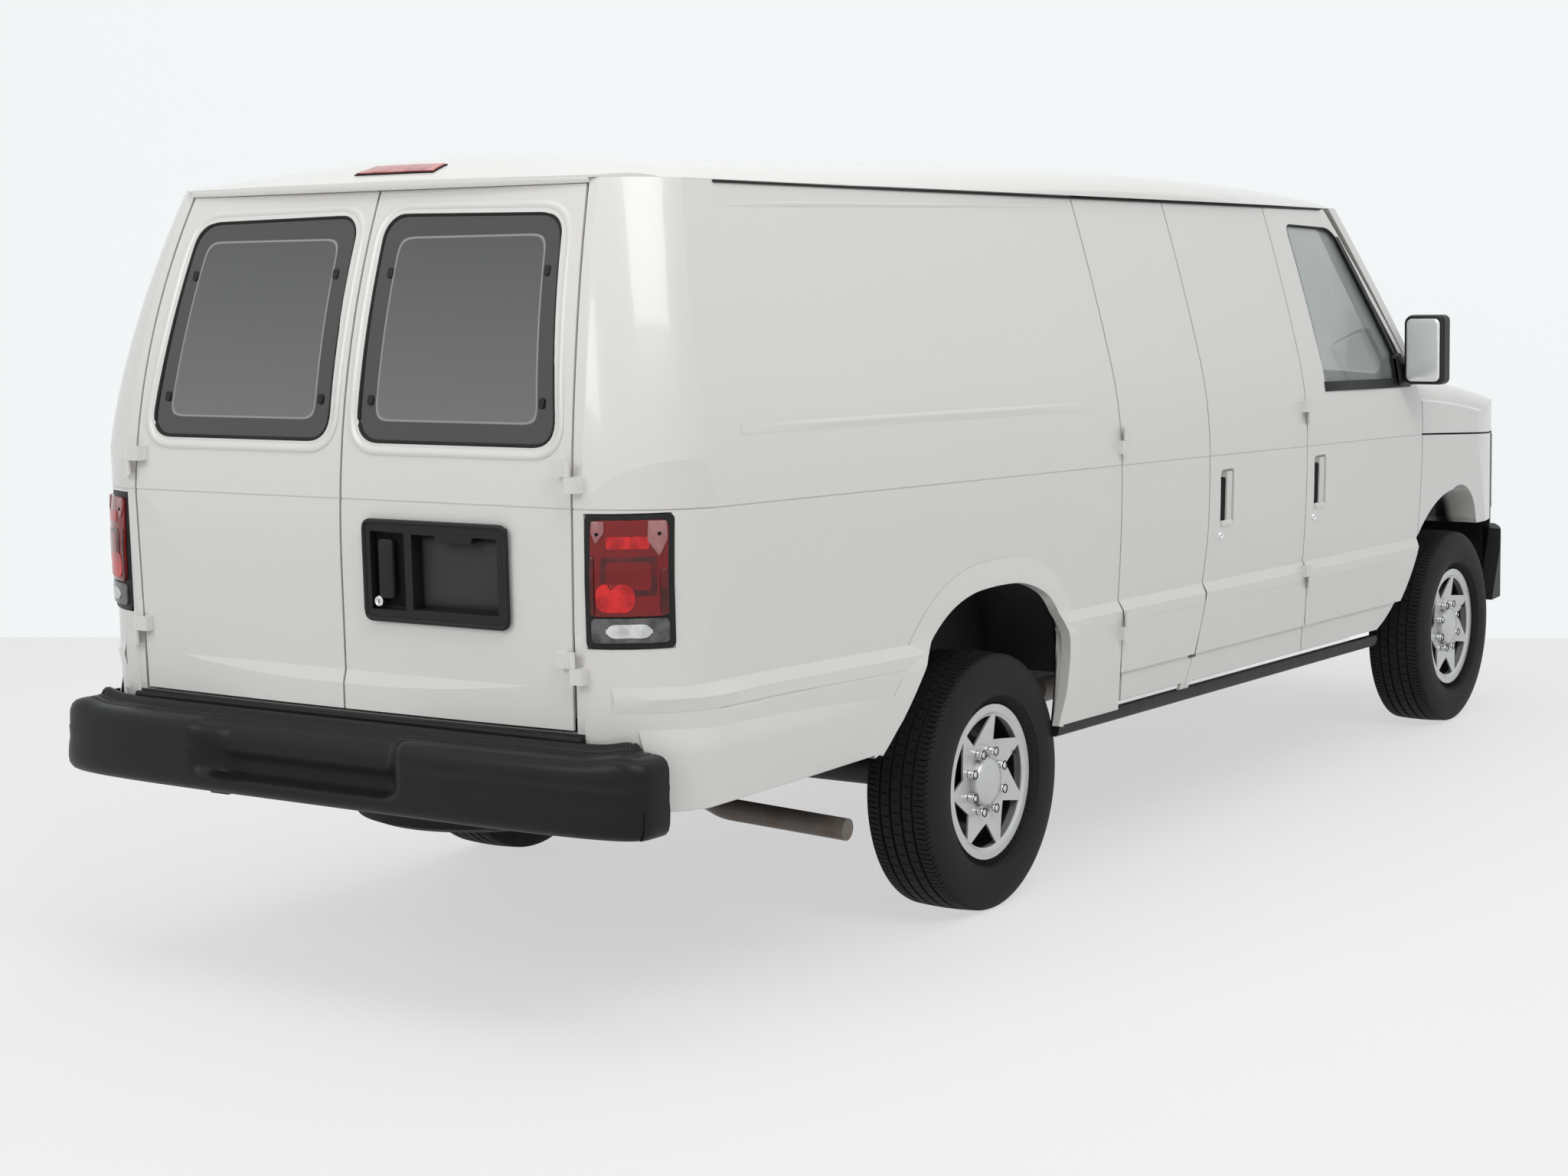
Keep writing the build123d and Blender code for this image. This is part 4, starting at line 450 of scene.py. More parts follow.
def dense(outline, parts):
    """The outline with each of its sides divided into equal parts."""
    return np.concatenate([
        np.linspace(p, q, parts, endpoint=False) for p, q in zip(outline, np.roll(outline, -1, 0))])


def capped(grid):
    """The grid closed at both ends by a point in the middle of its end rows."""
    caps = grid[[0, -1]].mean(1, keepdims=True) * np.ones((1, grid.shape[1], 1))
    return np.concatenate([caps[:1], grid, caps[1:]])


def pad_rings(outline, layers, place):
    """Rings of an outline, each scaled about its middle and placed by a function of u, v and depth."""
    middle = outline.mean(0)
    rings = []
    for scale, inset, depth in layers:
        spread = outline - middle
        reach = np.linalg.norm(spread, axis=1, keepdims=True)
        ring = middle + spread * scale * (1 - inset / np.maximum(reach, 1e-9))
        rings.append(place(ring[:, 0], ring[:, 1], np.full(len(ring), depth)))
    return np.stack(rings)


def pad_layers(thick, bevel=0.0, base=0.0, dome=0.0, rings=4):
    """Layers of a pad: out over its top, down its bevelled edge and in under its base."""
    top = [(r, 0.0, thick + dome * (1 - r * r)) for r in np.linspace(0, 1, rings + 1)[:-1]]
    edge = [(1.0, bevel, thick), (1.0, bevel * 0.3, thick - bevel * 0.3), (1.0, 0.0, thick - bevel),
            (1.0, 0.0, base)]
    return top + edge + [(0.0, 0.0, base)]


def pad(name, outline, place, thick, body, slot, finish=None, bevel=0.001, base=0.0, dome=0.0, rings=4):
    return surface(
        name, pad_rings(outline, pad_layers(thick, bevel, base, dome, rings), place), body, slot, finish,
        (False, True))


def tube_grid(path, radius, sides=10, closed=False):
    """Points round a path: at each station a circle square to the path's direction."""
    path = np.asarray(path, float)
    along = np.roll(path, -1, 0) - np.roll(path, 1, 0) if closed else np.gradient(path, axis=0)
    along /= np.linalg.norm(along, axis=1, keepdims=True)
    guide = np.array([0.137, 0.219, 0.966]) if abs(along[:, 2]).mean() < 0.8 else np.array([0.98, 0.11, 0.17])
    first = np.cross(along, guide)
    first /= np.linalg.norm(first, axis=1, keepdims=True)
    second = np.cross(along, first)
    turn = full_turn(sides)
    radius = np.broadcast_to(np.asarray(radius, float), (len(path),))[:, None, None]
    circle = np.cos(turn)[None, :, None] * first[:, None] + np.sin(turn)[None, :, None] * second[:, None]
    grid = path[:, None] + radius * circle
    if not closed:
        grid = np.concatenate([
            np.repeat(path[:1, None], sides, 1), grid, np.repeat(path[-1:, None], sides, 1)])
    return grid, (closed, True)


def smooth_path(corners, radius, steps=6):
    """Path along straight runs whose corners are rounded by quadratic curves."""
    corners = [np.array(c, float) for c in corners]
    points = [corners[0]]
    for before, here, after in zip(corners, corners[1:], corners[2:]):
        into, out = before - here, after - here
        reach = min(radius, np.linalg.norm(into) * 0.49, np.linalg.norm(out) * 0.49)
        start = here + into / np.linalg.norm(into) * reach
        end = here + out / np.linalg.norm(out) * reach
        t = np.linspace(0, 1, steps)[:, None]
        points.extend((1 - t) ** 2 * start + 2 * t * (1 - t) * here + t * t * end)
    return np.array(points + [corners[-1]])


# ---------------------------------------------------------------- the body's surfaces
RAKE = 0.022
HALF_WIDTH = 1.003
TUCK = HALF_WIDTH - 0.018          # half width at the sill and above the crease
SILL, WIDEST, CREASE, BELT, SHOULDER, CANT = 0.465, 0.738, 0.800, 1.220, 1.529, 2.018  # heights at X = 0


def bow(x, first, middle, last):
    """Value at x of the shallow curve through three points."""
    (x0, y0), (x1, y1), (x2, y2) = first, middle, last
    first_share = (x - x1) * (x - x2) / ((x0 - x1) * (x0 - x2))
    middle_share = (x - x0) * (x - x2) / ((x1 - x0) * (x1 - x2))
    last_share = (x - x0) * (x - x1) / ((x2 - x0) * (x2 - x1))
    return y0 * first_share + y1 * middle_share + y2 * last_share


def side_y(x, z):
    """Half width of the body at a station and height: sill, crease facet, belt, shoulder, tumblehome."""
    s = np.asarray(z, float) + RAKE * np.asarray(x, float)
    low = np.interp(s, [SILL, WIDEST, CREASE], [TUCK, HALF_WIDTH, TUCK])
    waist = bow(s, (CREASE, TUCK), (1.010, HALF_WIDTH - 0.0045), (BELT, HALF_WIDTH))
    upper = bow(s, (BELT, HALF_WIDTH), (1.3745, HALF_WIDTH - 0.0095), (SHOULDER, HALF_WIDTH - 0.038))
    lean = bow(s, (SHOULDER, HALF_WIDTH - 0.038), (1.7735, HALF_WIDTH - 0.1005), (CANT, HALF_WIDTH - 0.171))
    return np.where(s < CREASE, low, np.where(s < BELT, waist, np.where(s < SHOULDER, upper, lean)))


def tail_x(y, z):
    """Station of the tail's surface: a leaning side view met by a bowed plan view."""
    y, z = np.abs(np.asarray(y, float)), np.asarray(z, float)
    side = np.interp(z, [0.828, 0.863], [-2.880, -2.870])
    lean = bow(z, (1.150, -2.870), (1.613, -2.81875), (2.076, -2.665))
    plan = bow(y, (0.0, -2.880), (0.400, -2.876), (0.781, -2.862))
    return np.maximum(np.where(z > 1.15, lean, side), plan)


def on_side(side, lift=0.0):
    """Places u along X and v up Z on a flank, depth standing out from it."""
    def place(u, v, depth):
        return spots(u, side * (side_y(u, v) + lift + depth), v)
    return place


def on_tail(lift=0.0):
    """Places u along Y and v up Z on the tail, depth standing out behind it."""
    def place(u, v, depth):
        return spots(tail_x(u, v) - lift - depth, u, v)
    return place


# ---------------------------------------------------------------- tyres
TYRE_R = 0.372
TREAD_HALF = 0.088
AXLES = {"front": (2.259, 0.8815), "rear": (-1.246, 0.851)}
GROOVES = (-0.052, -0.018, 0.018, 0.052)
GROOVE_HALF = 0.0045


def tyre_profile():
    """Offset from the middle plane and radius across a tyre, and how deep its grooves are."""
    stations = [-TREAD_HALF]
    for middle in GROOVES:
        stations += [middle - GROOVE_HALF - 0.011, middle - GROOVE_HALF, middle - GROOVE_HALF * 0.7,
                     middle + GROOVE_HALF * 0.7, middle + GROOVE_HALF, middle + GROOVE_HALF + 0.011]
    stations = np.array(stations + [0.0, TREAD_HALF])
    stations.sort()
    crown = TYRE_R - 0.0012 * (stations / 0.05) ** 2
    depth = np.zeros_like(stations)
    for middle in GROOVES:
        depth[np.abs(stations - middle) < GROOVE_HALF * 0.8] = 0.0085
    flank = np.array([
        (0.0945, 0.3660), (0.0990, 0.3600), (0.1015, 0.3560), (0.1045, 0.3480), (0.1085, 0.3340),
        (0.1118, 0.3120), (0.1125, 0.2900), (0.1110, 0.2700), (0.1075, 0.2530), (0.1072, 0.2515),
        (0.1030, 0.2500), (0.0960, 0.2420), (0.0880, 0.2340), (0.0830, 0.2275), (0.0790, 0.2262)])
    inner = flank[::-1] * [-1, 1]
    return (np.concatenate([inner[:, 0], stations, flank[:, 0]]),
            np.concatenate([inner[:, 1], crown, flank[:, 1]]),
            np.concatenate([np.zeros(len(flank)), depth, np.zeros(len(flank))]))


def tyre_grid(centre):
    """Radius of the profile, less the grooves and the narrow cross cuts that alternate from rib to rib."""
    offset, radius, groove = tyre_profile()
    pitch = np.array([0.0, 0.03, 0.09, 0.12, 0.50, 0.53, 0.59, 0.62])
    turns = np.arange(72)
    angle = ((turns[:, None] + pitch[None, :]) / 72 * 2 * pi).reshape(-1)
    first_cut = np.tile(np.array([0, 1, 1, 0, 0, 0, 0, 0], float), 72)[:, None]
    second_cut = np.tile(np.array([0, 0, 0, 0, 0, 1, 1, 0], float), 72)[:, None]
    rib = np.abs(offset)[None, :]
    shoulder = ((rib > 0.064) & (rib < 0.0985)).astype(float)
    inner = ((rib > 0.0245) & (rib < 0.0465)).astype(float)
    middle = (rib < 0.0125).astype(float)
    deep_cuts = np.maximum(shoulder * first_cut, inner * second_cut)
    fine_cuts = np.maximum(middle * first_cut, shoulder * second_cut)
    cut = 0.0065 * deep_cuts + 0.004 * fine_cuts
    swept = angle[:, None] + (offset / 0.1)[None, :] * radians(1.6) * (rib < 0.09)
    reach = (radius - groove)[None, :] - cut * (groove == 0)[None, :]
    x, y, z = centre
    grid = spots(x + reach * np.sin(swept), y + offset, z + reach * np.cos(swept))
    bead = np.array([(0.0785, 0.2045), (-0.0785, 0.2045)])
    ring = np.stack([spots(x + r * np.sin(angle), y + o, z + r * np.cos(angle)) for o, r in bead], 1)
    return np.concatenate([grid, ring], 1)


for axle, (axle_x, track) in AXLES.items():
    for side, word in SIDE_NAMES.items():
        corner = f"{axle}_{word}"
        tyre = surface(
            f"tread_{corner}", tyre_grid((axle_x, side * track, TYRE_R)), f"wheel_{corner}", "tyre_rubber",
            None, (True, True), 28.0)
        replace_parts(tyre, f"tyre_{corner}")


# ---------------------------------------------------------------- wheels
def ring_about(centre, side, stations, turns=64):
    """Revolved skin about a wheel's axle from pairs of radius and offset outwards."""
    x, y, z = centre
    angle = full_turn(turns)[:, None]
    radius, out = np.array(stations).T
    return spots(x + radius * np.sin(angle), y + side * out, z + radius * np.cos(angle))


LUG_CIRCLE, LUG_SOCKET = 0.0895, 0.0125
CAP_TURN = full_turn(18)


def lug_spots(centre):
    """Places of the eight lugs in the wheel's own plane."""
    turns = [radians(number * 45 + 22.5) for number in range(8)]
    return [(centre[0] + LUG_CIRCLE * sin(turn), centre[2] + LUG_CIRCLE * cos(turn)) for turn in turns]


def lug_covers(centre, side):
    """Eight small domed caps in a circle on the wheel cover: each a revolved skin about its own axis."""
    turn = full_turn(14)
    profile = np.array([
        (0.0, 0.0145), (0.0045, 0.0140), (0.0085, 0.0115), (0.0108, 0.0070), (0.0118, 0.0), (0.0118, -0.006)])
    blocks = []
    for x, z in lug_spots(centre):
        radius, out = profile[:, 0][:, None], profile[:, 1][:, None]
        blocks.append((spots(x + radius * np.cos(turn), centre[1] + side * (0.0745 + out),
                             z + radius * np.sin(turn)), (False, True)))
    return blocks


for axle, (axle_x, track) in AXLES.items():
    for side, word in SIDE_NAMES.items():
        corner = f"{axle}_{word}"
        centre = (axle_x, side * track, TYRE_R)
        joined(f"lug_caps_{corner}", lug_covers(centre, side), f"wheel_{corner}", "cover_silver",
               CHROME_FINISH)
        sockets = []
        for x, z in lug_spots(centre):
            loop = spots(x + LUG_SOCKET * np.cos(CAP_TURN), centre[1] + side * 0.0885,
                         z + LUG_SOCKET * np.sin(CAP_TURN))
            sockets.append(tube_grid(loop, 0.0016, 6, True))
        joined(f"lug_shades_{corner}", sockets, f"wheel_{corner}", "cover_silver", DIM_BLACK)
        hub = ring_about(
            centre, side, [(0.0, 0.0960), (0.020, 0.0956), (0.038, 0.0942), (0.052, 0.0918), (0.062, 0.0884),
                           (0.068, 0.0842), (0.0705, 0.0790), (0.0710, 0.0720), (0.0700, 0.0640),
                           (0.0, 0.0640)], 84)
        surface(f"hub_dome_{corner}", hub, f"wheel_{corner}", "cover_silver", None, (True, False), 50.0)
        valve = smooth_path([
            (axle_x + 0.150, side * (track + 0.060), TYRE_R + 0.06),
            (axle_x + 0.156, side * (track + 0.084), TYRE_R + 0.06)], 0.01)
        joined(f"valve_{corner}", [tube_grid(valve, 0.0045, 10)], f"wheel_{corner}", "tyre_rubber")


# ---------------------------------------------------------------- tail lamps
LAMP_LOW, LAMP_HIGH = 0.966, 1.286


def lamp_arc(share, out):
    """Plan position along the rear corner, a circular arc: share runs from the tail (0) to the flank (1)."""
    start, via, end = np.array([-2.862, 0.781]), np.array([-2.746, 0.958]), np.array([-2.560, 1.003])
    a, b = via - start, end - start
    cross = 2 * (a[0] * b[1] - a[1] * b[0])
    centre = start + np.array([b[1] * (a @ a) - a[1] * (b @ b), a[0] * (b @ b) - b[0] * (a @ a)]) / cross
    radius = np.linalg.norm(start - centre)
    first, last = (atan2(*(p - centre)[::-1]) for p in (start, via))
    first, last = first % (2 * pi), last % (2 * pi)
    angle = first + (last - first) * np.asarray(share, float)
    return centre[0] + (radius + out) * np.cos(angle), centre[1] + (radius + out) * np.sin(angle)


def on_lamp(side):
    """Places u (0 to 1 round the corner) and v (height) on the lamp's curved face, depth standing out."""
    def place(u, v, depth):
        x, y = lamp_arc(u, depth)
        lean = np.clip(v - 1.15, 0, None) * 0.06
        return spots(x + lean, side * y, v)
    return place


def lamp_box(u0, u1, v0, v1, radius):
    """Rounded outline on the lamp, whose u unit is about the arc's length of 0.21."""
    arc = 0.2125
    outline = rounded_outline((u1 - u0) * arc, v1 - v0, radius, 5)
    return dense(outline, 4) / [arc, 1] + [(u0 + u1) / 2, (v0 + v1) / 2]


def lamp_pieces(side):
    """Black surround, ruby upper lens with its brighter fields, smoked lower lens, and two screws."""
    word, place = SIDE_NAMES[side], on_lamp(side)
    tall = LAMP_HIGH - LAMP_LOW
    split = LAMP_LOW + 0.235 * tall

    def field(name, u0, u1, v0, v1, thick, finish, radius=0.010, dome=0.0, base=-0.02, bevel=0.0025):
        return pad(f"{name}_{word}", lamp_box(u0, u1, v0, v1, radius), place, thick, "van", "lamp_red",
                   finish, bevel, base, dome, 8)

    surround = field(
        "lamp_surround", 0.0, 1.0, LAMP_LOW, LAMP_HIGH, 0.0045, FINISHES["black_plastic"], 0.014, 0, -0.028)
    field("lamp_ruby", 0.075, 0.925, split + 0.002, LAMP_HIGH - 0.014, 0.0100, None, 0.016, 0.003)
    field("lamp_smoke", 0.075, 0.925, LAMP_LOW + 0.014, split - 0.002, 0.0100, SMOKE_GLOW, 0.012, 0.001)
    field("lamp_bright_top", 0.26, 0.72, LAMP_HIGH - 0.082, LAMP_HIGH - 0.052, 0.0137, RED_GLOW, 0.006, 0,
          0.009)
    field("lamp_bright_low", 0.14, 0.56, split + 0.012, split + 0.082, 0.0137, RED_GLOW, 0.026, 0.0, 0.009)
    field("lamp_side_strip_tail", 0.078, 0.125, split + 0.006, LAMP_HIGH - 0.10, 0.0139, DEEP_RED, 0.004, 0,
          0.009)
    field("lamp_side_strip_flank", 0.83, 0.915, split + 0.006, LAMP_HIGH - 0.13, 0.0139, DEEP_RED, 0.006, 0,
          0.009)
    field("lamp_dark_frame", 0.20, 0.80, split + 0.052, LAMP_HIGH - 0.100, 0.0133, DEEP_RED, 0.012, 0, 0.009)
    field("lamp_dark_window", 0.26, 0.74, split + 0.066, LAMP_HIGH - 0.112, 0.0137, None, 0.010, 0, 0.009)
    for at, edge, tip, wide, drop in (("tail", -1, 0.165, 0.150, 0.070), ("flank", 1, 0.80, 0.215, 0.100)):
        tab = smooth_path([(tip - wide / 2 * 0.9, 0, LAMP_HIGH - 0.016),
                           (tip - wide / 2, 0, LAMP_HIGH - drop * 0.6),
                           (tip + edge * 0.02, 0, LAMP_HIGH - drop),
                           (tip + wide / 2, 0, LAMP_HIGH - drop * 0.6),
                           (tip + wide / 2 * 0.9, 0, LAMP_HIGH - 0.016),
                           (tip - wide / 2 * 0.9, 0, LAMP_HIGH - 0.016)], 0.012, 4)[:-1][:, [0, 2]]
        pad(f"lamp_tab_{at}_{word}", dense(tab, 4), place, 0.0142, "van", "lamp_red", TAB_PINK, 0.0006, 0.009,
            0.0004, 5)
    field("lamp_clear_patch", 0.24, 0.74, LAMP_LOW + 0.026, split - 0.016, 0.0122, FINISHES["lamp_clear"],
          0.022, 0, 0.009)
    for number, u in enumerate((0.16, 0.82)):
        field(f"lamp_screw_{number}", u - 0.020, u + 0.020, LAMP_HIGH - 0.050, LAMP_HIGH - 0.042, 0.0162,
              DIM_BLACK, 0.0034, 0, 0.009, 0.001)
    return surround


lamp_pieces(LEFT)
surround_right = lamp_pieces(RIGHT)


ROOF_TAIL, ROOF_EASE, ROOF_FOOT, GUTTER = -2.690, 0.29, 2.0215, 2.0135


def roof_share(x):
    """How much of the roof's height above its foot is left: a tenth at the tail edge, all of it ahead."""
    ahead = np.clip((np.asarray(x, float) - ROOF_TAIL) / ROOF_EASE, 0, 1)
    return 0.10 + 0.90 * (1 - (1 - ahead) ** 2) ** 1.2


def roof_foot(x):
    return ROOF_FOOT - RAKE * np.asarray(x, float)


def eased_roof():
    """The roof's own shell, cut into short bays at the tail, whose heights shrink towards the tail edge."""
    work = bmesh.new()
    work.from_mesh(frame["nodes"]["roof"].data)
    bmesh.ops.remove_doubles(work, verts=work.verts, dist=1e-5)
    for station in np.linspace(ROOF_TAIL + 0.008, ROOF_TAIL + ROOF_EASE, 16):
        bmesh.ops.bisect_plane(
            work, geom=work.verts[:] + work.edges[:] + work.faces[:], dist=1e-6, plane_co=(station, 0, 0),
            plane_no=(1, 0, 0))
    mesh = bpy.data.meshes.new("roof_shell")
    work.to_mesh(mesh)
    work.free()
    flat = np.empty(len(mesh.vertices) * 3)
    mesh.vertices.foreach_get("co", flat)
    points = flat.reshape(-1, 3)
    foot = roof_foot(points[:, 0])
    over = np.clip(points[:, 2] - foot, 0, None)
    points[:, 2] -= over * (1 - roof_share(points[:, 0]))
    mesh.vertices.foreach_set("co", points.reshape(-1))
    return mesh


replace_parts(piece("roof_shell", eased_roof(), "van", "body_paint", None, 28.0), "roof")


def tail_edge(y):
    return -2.6905 + 0.0135 * (np.asarray(y, float) / 0.65) ** 2


LIP_Y = np.linspace(-0.678, 0.678, 81)[:, None]
LIP_PROFILE = np.array([
    (0.070, 2.0672), (0.006, 2.0668), (0.0012, 2.0684), (0.0, 2.0720), (0.0, 2.0850), (0.0022, 2.0888),
    (0.008, 2.0905), (0.070, 2.0905)])
lip = spots(tail_edge(LIP_Y) + LIP_PROFILE[:, 0], LIP_Y,
            LIP_PROFILE[:, 1] - 0.006 * (LIP_Y / 0.7) ** 4 * (LIP_PROFILE[:, 1] > 2.08))
surface("roof_tail_lip", capped(lip), "van", "body_paint", None, (False, True), 32.0)


def on_roof_tail(u, v, depth):
    """Places u (to the left) and v (up the slope, 0 to 1) on the roof's eased tail, depth standing proud."""
    x = -2.616 + 0.064 * v
    z = roof_foot(x) + (2.150 - 0.011 * (u / 0.37) ** 2 - roof_foot(x)) * roof_share(x)
    return spots(x - depth * 0.45, u, z + depth * 0.89)


LAMP_CORNERS = smooth_path([(-0.131, 0, 0.02), (0, 0, 0), (0.131, 0, 0.02), (0.118, 0, 1.0), (0, 0, 1.02),
                            (-0.118, 0, 1.0), (-0.131, 0, 0.02)], 0.008, 4)[:-1, ::2]
DENSE_LAMP = dense(LAMP_CORNERS, 6)
pad("brake_lamp_frame", (DENSE_LAMP - [0, 0.5]) * [1.035, 1.16] + [0, 0.5], on_roof_tail, 0.0030, "van",
    "lamp_red", DIM_BLACK, 0.001, -0.012, 0, 3)
pad("brake_lamp", DENSE_LAMP, on_roof_tail, 0.0062, "van", "lamp_red",
    glow("brake_reflector", (0.40, 0.075, 0.075), (0.66, 0.20, 0.19), 700.0), 0.0015, -0.010, 0.0015, 6)
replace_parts(surround_right, "tail_lamps")


# ---------------------------------------------------------------- tail doors
def tail_window(side, grow):
    """Outline of a tail pane in Y and Z: four corners rounded, grown outwards."""
    corners = np.array([(0.048, PANE_FOOT), (0.694, PANE_FOOT), (0.622, 1.998), (0.046, 2.006)])
    corners = corners + grow * np.array([(-1, -1), (1, -1), (1, 1), (-1, 1)])
    ring = []
    for here in range(4):
        before, at, after = corners[here - 1], corners[here], corners[(here + 1) % 4]
        into, out = before - at, after - at
        reach = 0.075 + grow
        start, end = at + into / np.linalg.norm(into) * reach, at + out / np.linalg.norm(out) * reach
        t = np.linspace(0, 1, 9)[:, None]
        ring.append((1 - t) ** 2 * start + 2 * t * (1 - t) * at + t * t * end)
        along_side = np.linspace(end, after + (at - after) / np.linalg.norm(at - after) * reach, 12)
        ring.append(along_side[1:-1])
    return np.concatenate(ring) * [side, 1]


for side, word in SIDE_NAMES.items():
    door = f"rear_door_{word}"
    ring = tail_window(side, -0.002)
    path = on_tail(-0.0045)(ring[:, 0], ring[:, 1], np.zeros(len(ring)))
    joined(f"pane_seal_{word}", [tube_grid(path, 0.0055, 8, True)], door, "black_plastic", SEAL_RUBBER)
    clips = []
    for y, z in ((0.094, 1.86), (0.602, 1.86), (0.086, 1.545), (0.640, 1.545)):
        outline = rounded_outline(0.017, 0.026, 0.007) + [side * y, z]
        clips.append((pad_rings(outline, pad_layers(0.004, 0.0015, -0.006), on_tail(-0.003)), (False, True)))
    joined(f"pane_clips_{word}", clips, door, "black_plastic")


# ---------------------------------------------------------------- plate housing
HOUSING_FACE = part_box("plate_housing")[0].x


def on_housing(u, v, depth):
    return spots(HOUSING_FACE - depth, u, v)


paddle = rounded_outline(0.048, 0.150, 0.010) + [-0.160, 1.128]
pad("paddle_handle", paddle, on_housing, -0.002, "rear_door_right", "black_plastic", None, 0.005, -0.012,
    0.002)
hinge_shade = rounded_outline(0.098, 0.180, 0.012) + [-0.169, 1.124]
# painted shade: a near-black sheet deep in the well behind the paddle
pad("paddle_well", hinge_shade, on_housing, -0.0235, "rear_door_right", "black_plastic", DIM_BLACK, 0.001,
    -0.0258)
pad("plate_bed", rounded_outline(0.262, 0.172, 0.008) + [-0.388, 1.122], on_housing, -0.034,
    "rear_door_right", "trim_plastic", moulded("plate_bed", (0.045, 0.045, 0.046), 0.5, 300.0, 0.1), 0.001,
    -0.0355)
frame_path = smooth_path([
    (u, v, 0) for u, v in ((-0.322, 1.247), (-0.553, 1.247), (-0.553, 1.001), (-0.091, 1.001),
                           (-0.091, 1.247), (-0.3215, 1.247))], 0.022)
frame_path = on_housing(frame_path[:, 0], frame_path[:, 1], np.full(len(frame_path), -0.002))
joined("housing_lip", [tube_grid(frame_path[:-1], 0.0065, 8, True)], "rear_door_right", "black_plastic")
lamp_hood = rounded_outline(0.12, 0.022, 0.009) + [-0.388, 1.212]
pad("plate_lamp", lamp_hood, on_housing, 0.001, "rear_door_right", "black_plastic", None, 0.004, -0.02)


def key_cylinder(name, centre, outwards, body, radius=0.0115):
    """Chrome lock: a revolved rim round a recessed barrel with a narrow slot bar across it."""
    outwards = np.array(outwards, float)
    guide = np.cross(outwards, [0, 0, 1.0])
    guide /= np.linalg.norm(guide)
    up = np.cross(guide, outwards)
    turn = full_turn(28)
    profile = np.array([
        (0.0, 0.0030), (0.62, 0.0030), (0.70, 0.0048), (0.88, 0.0052), (1.0, 0.0035), (1.0, -0.008),
        (0, -0.008)])
    circle = np.cos(turn)[:, None] * guide + np.sin(turn)[:, None] * up
    rings = [np.array(centre) + outwards * h + radius * r * circle for r, h in profile]
    slot_bar = rounded_outline(0.0022, 0.011, 0.0009)
    bar_outline = slot_bar[:, :1] * guide + slot_bar[:, 1:] * up
    bar = [np.array(centre) + outwards * h + s * bar_outline for s,
           h in ((0, 0.0036), (1, 0.0036), (1, 0.001), (0, 0.001))]
    lock = surface(name, np.stack(rings), body, "cover_silver", CHROME_FINISH, (False, True), 40.0)
    # painted shade: a near-black bar standing for the dark keyway
    surface(name + "_slot", np.stack(bar), body, "black_plastic", DIM_BLACK, (False, True))
    return lock


key_cylinder("tail_lock", (HOUSING_FACE + 0.002, -0.136, 1.046), (-1, 0, 0), "rear_door_right", 0.0135)


# ---------------------------------------------------------------- door handles
HANDLES = {"side_door_front": (RIGHT, 0.138, 0.242, 0.968, 1.154),
           "front_door_right": (RIGHT, 0.879, 0.982, 0.958, 1.143),
           "front_door_left": (LEFT, 0.879, 0.982, 0.958, 1.143)}
for door, (side, x0, x1, z0, z1) in HANDLES.items():
    slot_outline = rounded_outline(0.030, z1 - z0 - 0.040, 0.008) + [x0 + 0.033, (z0 + z1) / 2 - 0.006]
    # painted shade: a near-black sheet in the gap beside the handle's pull
    pad(f"handle_slot_{door}", slot_outline, on_side(side, -0.018), 0.0125, door, "black_plastic", DIM_BLACK,
        0.001, -0.001)
    for number, at in enumerate((0.020, 0.029, 0.038, 0.047)):
        rib = rounded_outline(0.0075, z1 - z0 - 0.018, 0.0030) + [x1 - at, (z0 + z1) / 2]
        pad(f"handle_pull_{number}_{door}", rib, on_side(side, -0.018), 0.0165, door, "body_paint", None,
            0.0025, -0.001)
    tongue = rounded_outline(x1 - x0 - 0.022, 0.020, 0.0095) + [(x0 + x1) / 2 + 0.002, z0 + 0.010]
    pad(f"handle_tongue_{door}", tongue, on_side(side, -0.010), 0.0140, door, "body_paint", None, 0.006,
        -0.006, 0.002)
    lock_x = (x0 + x1) / 2 - (0.045 if door == "side_door_front" else 0.047)
    lock_z = z0 - 0.026
    key_cylinder(f"lock_{door}", (lock_x, side * (side_y(lock_x, lock_z) + 0.001), lock_z), (0, side, 0),
                 door)


# ---------------------------------------------------------------- rear bumper
def path_round_tail():
    """Plan of the rear bumper's face from the right end round to the left one, even along its length."""
    half = np.array([
        (-2.832, 1.003), (-2.880, 1.0025), (-2.915, 0.998), (-2.944, 0.982), (-2.964, 0.950), (-2.978, 0.900),
        (-2.989, 0.830), (-2.998, 0.720), (-3.003, 0.600), (-3.006, 0.450), (-3.006, 0.220), (-3.006, 0.0)])
    whole = np.concatenate([half * [1, -1], half[-2::-1]])
    run = np.concatenate([[0], np.cumsum(np.linalg.norm(np.diff(whole, axis=0), axis=1))])
    even = np.linspace(0, run[-1], 241)
    plan = np.stack([np.interp(even, run, whole[:, 0]), np.interp(even, run, whole[:, 1])], 1)
    for _ in range(6):
        plan[1:-1] = (plan[:-2] + 2 * plan[1:-1] + plan[2:]) / 4
    return plan


def rise(value, low, high):
    """Smooth step from 0 at low to 1 at high."""
    t = np.clip((value - low) / (high - low), 0, 1)
    return t * t * (3 - 2 * t)


